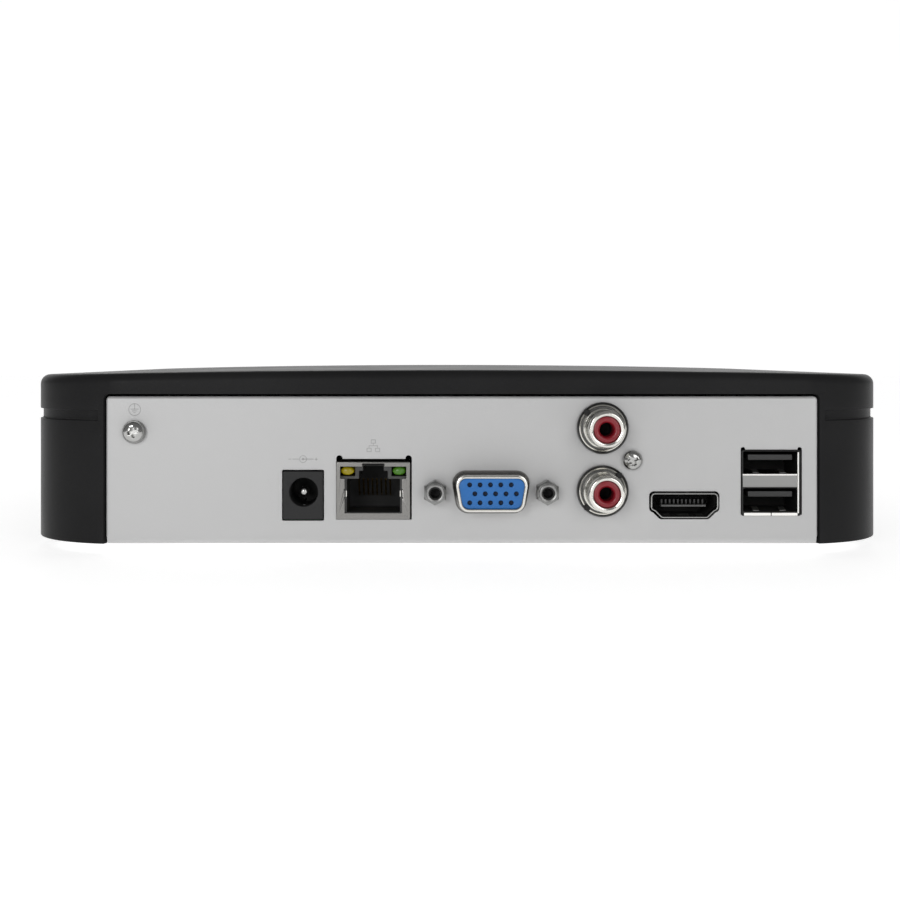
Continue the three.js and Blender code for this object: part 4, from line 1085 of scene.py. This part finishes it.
def add_audio_socket(level, place, reach, key_angles):
    """A phono socket: a plated barrel in a round edge and groove drawn dark as painted shade, a red centre
    and the key squares beside it.
    """
    edge = [
        (5.3, -0.3), (5.6, -0.3), (5.8, -0.5), (5.8, -1.1), (5.74, -1.3), (5.6, -1.38), (5.46, -1.3),
        (5.4, -1.1), (5.3, -1.0),
    ]
    flange = [
        (4.7, -0.3), (5.35, -0.4), (5.35, -1.0), (5.25, -1.25), (5.1, -1.32), (4.95, -1.25), (4.85, -1.0),
        (4.8, -0.7), (4.7, -0.6),
    ]
    groove = [(4.1, -0.3), (4.85, -0.3), (4.85, -0.8), (4.1, -0.8)]
    barrel = [
        (3.3, 4.8), (4.15, 4.8), (4.15, -0.4), (4.5, -0.5), (4.55, -2.2), (4.5, -2.5), (4.35, -2.7),
        (4.2, -2.75), (4.13, -3.0), (4.1, reach + 1.0), (4.02, reach + 0.4), (3.85, reach + 0.12),
        (3.6, reach), (3.3, reach + 0.03), (3.05, reach + 0.14), (2.92, reach + 0.4), (2.9, reach + 1.5),
        (3.3, reach + 1.6),
    ]
    face = reach + 0.45
    insulator = [
        (1.48, -1.2), (1.48, face + 1.2), (1.55, face + 0.6), (1.85, face + 0.12), (2.05, face),
        (2.65, face), (2.8, face + 0.06), (2.89, face + 0.25), (2.89, face + 0.9), (2.86, face + 1.0),
        (2.86, 4.9), (0, 4.9),
    ]
    # A near-black tube and floor inside the red centre's hole: painted shade.
    hole_shade = [(1.49, face + 0.9), (1.47, -1.1), (0, -1.1)]
    node = f"audio_barrel_{level}"
    # The outer edge ring and the groove ring are drawn in the darker metal: painted shade.
    add_mesh(f"audio_edge_{level}", SHADE_METAL, turned(edge, place, 96, LOOP), node=node)
    add_mesh(f"audio_groove_{level}", SHADE_METAL, turned(groove, place, 96, LOOP), node=node)
    rings = [turned(profile, place, 96, LOOP) for profile in (flange, barrel)]
    add_mesh(f"audio_shell_{level}", PLATED, *rings, node=node)
    node = f"audio_insulator_{level}"
    add_mesh(f"audio_centre_{level}", AUDIO_RED, turned(insulator, place, 64, LAST), node=node)
    add_mesh(f"audio_hole_shade_{level}", BLACK_AND_SHADE, turned(hole_shade, place, 48, NEITHER), node=node)
    keys = []
    for angle in key_angles:
        a = math.radians(angle)
        x, z = place[0] + KEY_RING * math.cos(a), place[1] + KEY_RING * math.sin(a)
        keys.append(brick((x - 0.62, -2.0, z - 0.58), (x + 0.62, -0.6, z + 0.58), 0.1))
    add_mesh(f"audio_keys_{level}", BLACK_AND_SHADE, *keys, node="audio_housing")


def add_audio_sockets():
    reach = case_box("audio_barrel_upper")[0].y
    add_audio_socket("upper", AUDIO[0], reach, (135,))
    add_audio_socket("lower", AUDIO[1], reach, (45, 225))
    low, high = case_box("audio_housing")
    outline = pad((high.x - low.x) / 2, (high.z - low.z) / 2, 0.6, centre("audio_housing"))
    holes = [moved(circle(4.5), place) for place in AUDIO] + [moved(circle(1.8, 24), PANEL_SCREW)]
    block = slab(outline, holes, low.y, high.y, 0.3, 0.1)
    add_mesh("audio_block", SOCKET_BLACK, block, node="audio_housing")


# ---- digital video socket

TOOTH_PITCH = 0.92


def add_digital_video_socket():
    shell, inside = "digital_video_shell", "digital_video_tongue"
    low, high = case_box(shell)
    x, z = DIGITAL
    corners = digital_corners(15.0, 5.5)
    profile = [
        (0.1, high.y), (0.1, low.y + 0.3), (0.02, low.y + 0.08), (-0.1, low.y), (-0.22, low.y + 0.06),
        (-0.32, low.y + 0.25), (-0.32, high.y - 0.4),
    ]
    add_mesh("digital_rim", SCREW_METAL, swept(corners, DIGITAL, profile, 0.9, 4, BOTH), node=shell)
    # A near-black sheet just inside the shell: painted shade in the socket's cavity.
    cavity_shade = swept(corners, DIGITAL, [(-0.36, 0.9), (-0.36, 10.5)], 0.9, 4, LAST)
    add_mesh("digital_cavity_shade", BLACK_AND_SHADE, cavity_shade, node=inside)
    tongue = brick((x - 5.1, 1.2, z - 0.45), (x + 5.1, 8, z + 0.1), 0.12)
    teeth = []
    for i in range(11):
        step = i * TOOTH_PITCH
        teeth.append(brick((x - 5.0 + step, 1.9, z), (x - 4.6 + step, 4.4, z + 1.2), 0.08))
    add_mesh("digital_tongue", TOOTH_GREY, tongue, *teeth, node=inside)
    # A lighter strip on the tongue's front edge: painted highlight.
    edge = brick((x - 5, 1.1, z - 0.4), (x + 5, 1.4, z - 0.05), 0.08)
    add_mesh("digital_tongue_edge", HIGHLIGHT_GREY, edge, node=inside)
    springs = []
    for mid, half in ((x - 3.7, 0.8), (x, 1.3), (x + 3.7, 0.8)):
        stations = [(mid, y, z - down) for y, down in ((0.6, 2.62), (2.0, 2.45), (3.2, 2.3), (4.4, 2.5))]
        springs.append(blade(stations, half))
    add_mesh("digital_springs", SATIN_METAL, *springs, node=shell)


# ---- double USB socket

USB_HALF_WIDTH = 6.6
PORT_HALF_WIDTH = 6.25
LEAD_PITCH = 2.25
USB_PORTS = (("upper", 2.1, 7.15), ("lower", -6.35, -1.1))


def add_usb_port(level, opening, bottom, top):
    """One port: its walls, a tongue with four leads, and two springs on its floor."""
    shell, tongue = "usb_shell", f"usb_tongue_{level}"
    front = case_box(shell)[0].y
    x = USB[0]
    # The port's walls are drawn near-black: painted shade inside the port.
    add_mesh(f"usb_walls_{level}", BLACK_AND_SHADE, prism(opening, (front + 0.4, 14.0)), node=shell)
    tongue_part = brick((x - 5.0, 0.8, top - 2.0), (x + 5.0, 13, top - 0.75), 0.15)
    add_mesh(f"usb_bar_{level}", TOOTH_GREY, tongue_part, node=tongue)
    leads = []
    for i in range(4):
        mid = x + (i - 1.5) * LEAD_PITCH
        leads.append(brick((mid - 0.5, 2.6, top - 2.12), (mid + 0.5, 11, top - 1.95), 0.05))
    add_mesh(f"usb_leads_{level}", GOLD, *leads, node=tongue)
    springs = []
    for mid in (x - 3.0, x + 3.0):
        stations = [(mid, y, bottom + up) for y, up in ((1.6, 0), (3.4, 0.55), (4.2, 0.6), (6.5, 0.1))]
        springs.append(blade(stations, 0.7))
    add_mesh(f"usb_springs_{level}", SATIN_METAL, *springs, node=shell)


def add_usb_socket():
    shell = "usb_shell"
    low, high = case_box(shell)
    front = low.y
    x, z = USB
    middle = (x, (low.z + high.z) / 2)
    corners = box_corners(USB_HALF_WIDTH, (high.z - low.z) / 2)
    openings = []
    for _, bottom, top in USB_PORTS:
        openings.append(pad(PORT_HALF_WIDTH, (top - bottom) / 2, 0.3, (x, z + (top + bottom) / 2)))
    face = slab(moved(rounded(corners, 0.35), middle), openings, front + 0.12, front + 0.5, 0.1, 0.1)
    outside = swept(corners, middle, [(0, front + 0.4), (0, high.y)], ends=LAST)
    # The shell's face and outside walls are drawn near-black: painted shade round the ports and in the
    # cut-out.
    add_mesh("usb_frame", BLACK_AND_SHADE, face, outside, node=shell)
    divider = brick((x - 6.4, front, z - 0.85), (x + 5.85, front + 0.3, z + 1.75), 0.1)
    add_mesh("usb_divider", SATIN_METAL, divider, node=shell)
    # The right wall, the bottom flanges and the ledge on the divider are drawn in pale metal: painted
    # highlight.
    side = brick((x + 5.88, front - 0.02, low.z + 0.6), (x + 6.22, front + 0.3, high.z - 0.4), 0.1)
    flanges = [
        brick((x + left, front - 0.03, low.z + 0.05), (x + right, front + 0.3, low.z + 0.72), 0.1)
        for left, right in ((-6.1, -0.08), (0.08, 5.9))
    ]
    add_mesh("usb_flange", HIGHLIGHT_METAL, side, *flanges, node=shell)
    ledge = brick((x - 6.4, front + 0.05, z + 1.72), (x + 5.85, 12, z + 2.1), 0.1)
    add_mesh("usb_ledge", HIGHLIGHT_METAL, ledge, node=shell)
    for (level, bottom, top), opening in zip(USB_PORTS, openings):
        add_usb_port(level, opening, z + bottom, z + top)


# ---- printed marks


def bar(x0, z0, x1, z1, width=0.16):
    """A straight stroke between two points, and no hole."""
    start, end = Vector((x0, z0)), Vector((x1, z1))
    along = (end - start).normalized() * (width / 2)
    across = Vector((along.y, -along.x))
    corners = (start - along + across, end + along + across, end + along - across, start - along - across)
    return [tuple(corner) for corner in corners], []


def add_mark(name, place, strokes):
    """Thin flat shapes just proud of the panel. Each stroke is an outline and its holes."""
    flats = []
    for outer, holes in strokes:
        holes = [moved(hole, place) for hole in holes]
        flats.append(slab(moved(outer, place), holes, -0.02, 0.05, 0.005, 0.005))
    add_mesh(name, PRINT_GREY, *flats, node="base_chassis")


def add_printed_marks():
    add_mark("earth_mark", (EARTH[0], EARTH[1] + 5.0), [
        (circle(1.4, 40), [circle(1.24, 40)]),
        bar(0, 1.24, 0, 0.1), bar(-0.8, 0.1, 0.8, 0.1), bar(-0.5, -0.3, 0.5, -0.3),
        bar(-0.2, -0.7, 0.2, -0.7),
    ])
    add_mark("power_mark", (POWER[0], POWER[1] + 8.1), [
        (circle(0.85, 32), [circle(0.7, 32)]), (circle(0.28, 20), []),
        bar(-2.3, 0, -1.0, 0), bar(0.3, 0, 2.3, 0), bar(-3.2, 0, -2.7, 0), bar(2.7, 0, 3.2, 0),
        bar(2.95, -0.25, 2.95, 0.25),
    ])
    boxes = [
        (pad(0.55, 0.45, 0.05, place, 1), [pad(0.4, 0.3, 0.05, place, 1)])
        for place in ((0, 1.0), (-0.95, -0.9), (0.95, -0.9))
    ]
    add_mark("network_mark", (NETWORK[0], NETWORK[1] + 10.0), [
        *boxes, bar(0, 0.5, 0, 0.1, 0.12), bar(-0.95, 0.05, 0.95, 0.05, 0.12),
        bar(-0.95, 0, -0.95, -0.4, 0.12), bar(0.95, 0, 0.95, -0.4, 0.12),
    ])

# ---- what stands on the main board

PARTS_REGION = ((-54, 66), (20, 74))
PITCH_X, PITCH_Y = 1.3, 1.9


def dress(node, finish, width=0.3, segments=2):
    """A CAD node shown as it is, with a finish and softened edges."""
    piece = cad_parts[node]
    piece.data.materials.clear()
    piece.data.materials.append(finish)
    piece.data.shade_smooth()
    piece.data.set_sharp_from_angle(angle=math.radians(35))
    soften(piece, width, segments, 40)
    add_shading(piece)


def add_chip(name, place, size, base, pins):
    """A black chip with bent leads along two sides and a dot by its first pin."""
    x, y = place
    half_x, half_y, height = size
    body = brick((x - half_x, y - half_y, base + 0.1), (x + half_x, y + half_y, base + height), 0.12)
    profile = [(0.4, height - 0.05), (0.4, height + 0.02), (0.3, height + 0.02), (0.3, height - 0.05)]
    dot = upright(profile, (x - half_x + 1, y - half_y + 1), base, 16, NEITHER)
    add_mesh(name, SOCKET_BLACK, body, dot)
    leads = []
    for side in (-1, 1):
        for i in range(pins):
            mid = x - half_x + (i + 0.5) * 2 * half_x / pins
            bends = ((-0.1, height * 0.5), (0.5, height * 0.5), (0.7, 0.12), (1.3, 0.12))
            path = [(mid, y + side * (half_y + reach), base + up) for reach, up in bends]
            leads.append(tube(path, 0.16, 6))
    add_mesh(f"{name}_leads", SATIN_METAL, *leads)


def add_small_parts(name, count, base, finish, seed, size=(0.5, 1.0)):
    """Small soldered parts scattered over the board on a loose grid."""
    draw = random.Random(seed)
    (x0, x1), (y0, y1) = PARTS_REGION
    parts = []
    for _ in range(count):
        x = x0 + PITCH_X * draw.randrange(int((x1 - x0) / PITCH_X))
        y = y0 + PITCH_Y * draw.randrange(int((y1 - y0) / PITCH_Y))
        width, length = size if draw.random() < 0.5 else size[::-1]
        low = (x - width / 2, y - length / 2, base)
        parts.append(brick(low, (x + width / 2, y + length / 2, base + size[0]), 0.06))
    add_mesh(name, finish, *parts)


def add_can(name, place, radius, height, base, node=None):
    """A can capacitor: a black sleeve with a bright top."""
    sleeve = [
        (radius, 0), (radius, height * 0.1), (radius * 0.94, height * 0.14), (radius, height * 0.18),
        (radius, height * 0.93), (radius * 0.9, height * 0.98),
    ]
    add_mesh(name, SOCKET_BLACK, upright(sleeve, place, base, 32, FIRST), node=node)
    top = [(radius * 0.92, height * 0.955), (radius * 0.85, height), (0, height)]
    add_mesh(f"{name}_top", LID_METAL, upright(top, place, base, 32))


def add_board_parts():
    base = case_box("main_board")[1].z
    for node, finish, width, segments in (
        ("main_board", BOARD_GREEN, 0.1, 1),
        ("processor", SOCKET_BLACK, 0.3, 2),
        ("heat_sink", SINK_METAL, 0.2, 2),
        ("coin_cell_holder", SOCKET_BLACK, 0.3, 2),
        ("coin_cell", SCREW_METAL, 0.5, 3),
        ("buzzer", SOCKET_BLACK, 0.5, 3),
        ("drive_data_socket", SOCKET_BLACK, 0.3, 2),
        ("drive_power_socket", PLUG_WHITE, 0.3, 2),
    ):
        dress(node, finish, width, segments)
    low, high = case_box("capacitor")
    add_can("large_capacitor", node_plan("capacitor"), 4.95, high.z - low.z, low.z, "capacitor")
    for name, place, size, pins in (
        ("memory_chip_1", (-4, 28), (4.5, 6, 1.2), 12),
        ("memory_chip_2", (-4, 44), (4.5, 6, 1.2), 12),
        ("memory_chip_3", (-58, 54), (4.5, 6, 1.2), 12),
        ("flash_chip", (16, 60), (4, 2.6, 1.6), 4),
        ("network_transformer", (-19, 28), (6.5, 4.5, 4.5), 8),
        ("supply_chip", (-44, 25), (2.6, 2.2, 1.5), 4),
    ):
        add_chip(name, place, size, base, pins)
    for i, place in enumerate(((-50, 38), (-46, 20), (66, 70), (28, 66), (36, 60))):
        add_can(f"small_capacitor_{i + 1}", place, 2.9, 6.5, base)
    for i, (x, y) in enumerate(((-58, 42), (24, 38))):
        coil = brick((x - 3.5, y - 3.5, base), (x + 3.5, y + 3.5, base + 3.4), 0.8)
        add_mesh(f"coil_{i + 1}", CAST_METAL, coil)
    can = pad(5, 1.9, 1.8)
    for i, (x, y) in enumerate(((-12, 62), (6, 26))):
        rings = []
        for inset, up in ((-0.4, 0), (-0.4, 0.3), (0, 0.35), (0, 3.0), (0.4, 3.4)):
            rings.append([(x + dx, y + dy, base + up) for dx, dy in shrunk(can, inset)])
        add_mesh(f"crystal_{i + 1}", SCREW_METAL, skin(rings))
    add_small_parts("tan_parts", 90, base, TAN, 11)
    add_small_parts("black_parts", 70, base, SOCKET_BLACK, 23)
    add_small_parts("pale_parts", 60, base, SATIN_METAL, 37, (0.4, 0.8))


# ---- cables inside the case


def add_data_cable():
    """A ribbon of five strands from the plug on the board to the angled plug at the drive."""
    node = "drive_data_cable"
    x = node_plan(node)[0]
    start, end = MIDDLE_Y - 30, MIDDLE_Y + 20
    ribbon = [
        (x, start + 2, 18), (x, start + 8, 18.2), (x, start + 17, 16.5), (x, start + 27, 12.5),
        (x, start + 36, 10.3), (x, end - 4, 10),
    ]
    band = wires(ribbon, 0.78, [(i * 1.35, 0) for i in (-2.3, -1.15, 0, 1.15, 2.3)])
    add_mesh("data_cable_band", CABLE_RED, band, node=node)
    plugs = [
        brick((x - 7, start - 3.4, 13.8), (x + 7, start + 3.4, 21), 0.8),
        brick((x - 5, end - 7, 7.5), (x + 5, end + 6, 12.5), 0.8),
    ]
    for i in range(4):
        z = i * 1.3
        plugs.append(brick((x - 5.5, start - 3.38, 15 + z), (x + 5.5, start - 3.2, 15.6 + z), 0.08))
    add_mesh("data_cable_plugs", CABLE_BLACK, *plugs, node=node)
    latch = brick((x - 2.5, start - 3.35, 17), (x + 2.5, start - 2.6, 20.9), 0.2)
    add_mesh("data_cable_latch", SATIN_METAL, latch, node=node)


def inner_route(points):
    """A smooth route from points whose depth is given from the middle of the case."""
    return smooth_path([(x, MIDDLE_Y + y, z) for x, y, z in points])


def add_power_cable():
    """Two red and two black wires, bundled four-square, from the drive's plug to the board's header."""
    node = "drive_power_cable"
    route = inner_route([
        (-74, 38, 10), (-79, 37.5, 10), (-82.5, 35, 10), (-84, 30, 10), (-84, 5, 10), (-84, -20, 9.5),
        (-84, -38, 9), (-82.5, -42.8, 8.4), (-79.5, -45, 8.4), (-76, -45, 8.4),
    ])
    for name, side, finish in (("red", -1, CABLE_RED), ("black", 1, CABLE_BLACK)):
        pair = wires(route, 0.75, [(side * 0.82, -0.8), (-side * 0.82, 0.8)])
        add_mesh(f"power_cable_{name}", finish, pair, node=node)
    plug = [brick((-75.5, MIDDLE_Y + 29, 7), (-62.3, MIDDLE_Y + 49, 12.5), 0.6)]
    for i in range(4):
        x = i * 1.4
        plug.append(brick((-75.4 + x, MIDDLE_Y + 30, 12.3), (-74.8 + x, MIDDLE_Y + 48, 12.75), 0.15))
    add_mesh("power_cable_plug", CABLE_BLACK, *plug, node=node)
    header = brick((-77.8, MIDDLE_Y - 48.5, 7.2), (-71.5, MIDDLE_Y - 41.5, 9.6), 0.3)
    add_mesh("power_cable_header", PLUG_WHITE, header, node=node)


def add_indicator_lead():
    route = inner_route([
        (-18, 98.55, 19.5), (-32, 98.55, 19.5), (-58, 98.65, 19.5), (-66.5, 95.25, 19.5), (-70, 84, 19.5),
        (-71, 68, 19), (-71.5, 48, 18.5), (-75.5, 26, 18), (-77, 4, 17), (-76.5, -10, 14.5),
        (-75.5, -18, 11.5), (-75, -21, 9),
    ])
    strands = wires(route, 0.42, [(-0.5, -0.5), (0.5, -0.5), (-0.5, 0.5), (0.5, 0.5)])
    plugs = [
        brick((-21, MIDDLE_Y + 97.25, 17), (-14, MIDDLE_Y + 100.25, 22), 0.3),
        brick((-78, MIDDLE_Y - 24, 5.5), (-72, MIDDLE_Y - 18, 10.5), 0.3),
    ]
    add_mesh("indicator_wires", PLUG_WHITE, strands, *plugs, node="indicator_lead")


# ---- hard disk drive


def add_drive():
    for node, finish, width in (
        ("drive_base", CAST_METAL, 0.4),
        ("drive_board", BOARD_GREEN, 0.1),
        ("drive_platters", DISK_MIRROR, 0.08),
        ("drive_arm", LID_METAL, 0.15),
        ("indicator_board", BOARD_GREEN, 0.1),
    ):
        dress(node, finish, width)
    low, high = case_box("drive_lid")
    x, y = node_plan("drive_lid")
    half_x, half_y, flat = (high.x - low.x) / 2, (high.y - low.y) / 2, high.z - 0.5
    plate = flat_sheet(pad(half_x, half_y, 3, (x, y)), [], low.z, flat, 0.45)
    spindle = node_plan("drive_platters")
    raised = [
        (40, -0.1), (39.6, 0.2), (39.0, 0.42), (38.3, 0.5), (13, 0.5), (12.4, 0.42), (12.0, 0.2), (11.4, 0.1),
        (5, 0.1), (4.6, 0.3), (4.2, 0.45), (0, 0.45),
    ]
    pivot = [(9, -0.1), (8.7, 0.2), (8.2, 0.4), (4, 0.4), (3.6, 0.2), (0, 0.2)]
    pressed = upright(raised, spindle, flat, 96, NEITHER)
    ring = upright(pivot, (spindle[0] - 60, spindle[1] + 18), flat, 64, NEITHER)
    add_mesh("drive_cover", LID_METAL, plate, pressed, ring, node="drive_lid")
    heads = []
    for i, (across, along) in enumerate(((-1, -1), (-1, 1), (1, -1), (1, 1), (0, -1), (0, 1))):
        place = (x + across * (half_x - 4), y + along * (half_y - 4))
        heads.append(facing(screw_head(2.3, 0.9, i * 0.7), place, flat, "up"))
    add_mesh("drive_cover_screws", SCREW_METAL, *heads)
    label = flat_sheet(pad(11, 26, 1, (low.x + 18, y - 20)), [], flat - 0.1, flat + 0.08, 0.05)
    add_mesh("drive_label", PLUG_WHITE, label)


add_power_inlet()
add_network_socket()
add_video_socket()
add_audio_sockets()
add_digital_video_socket()
add_usb_socket()
add_printed_marks()
add_board_parts()
add_data_cable()
add_power_cable()
add_indicator_lead()
add_drive()
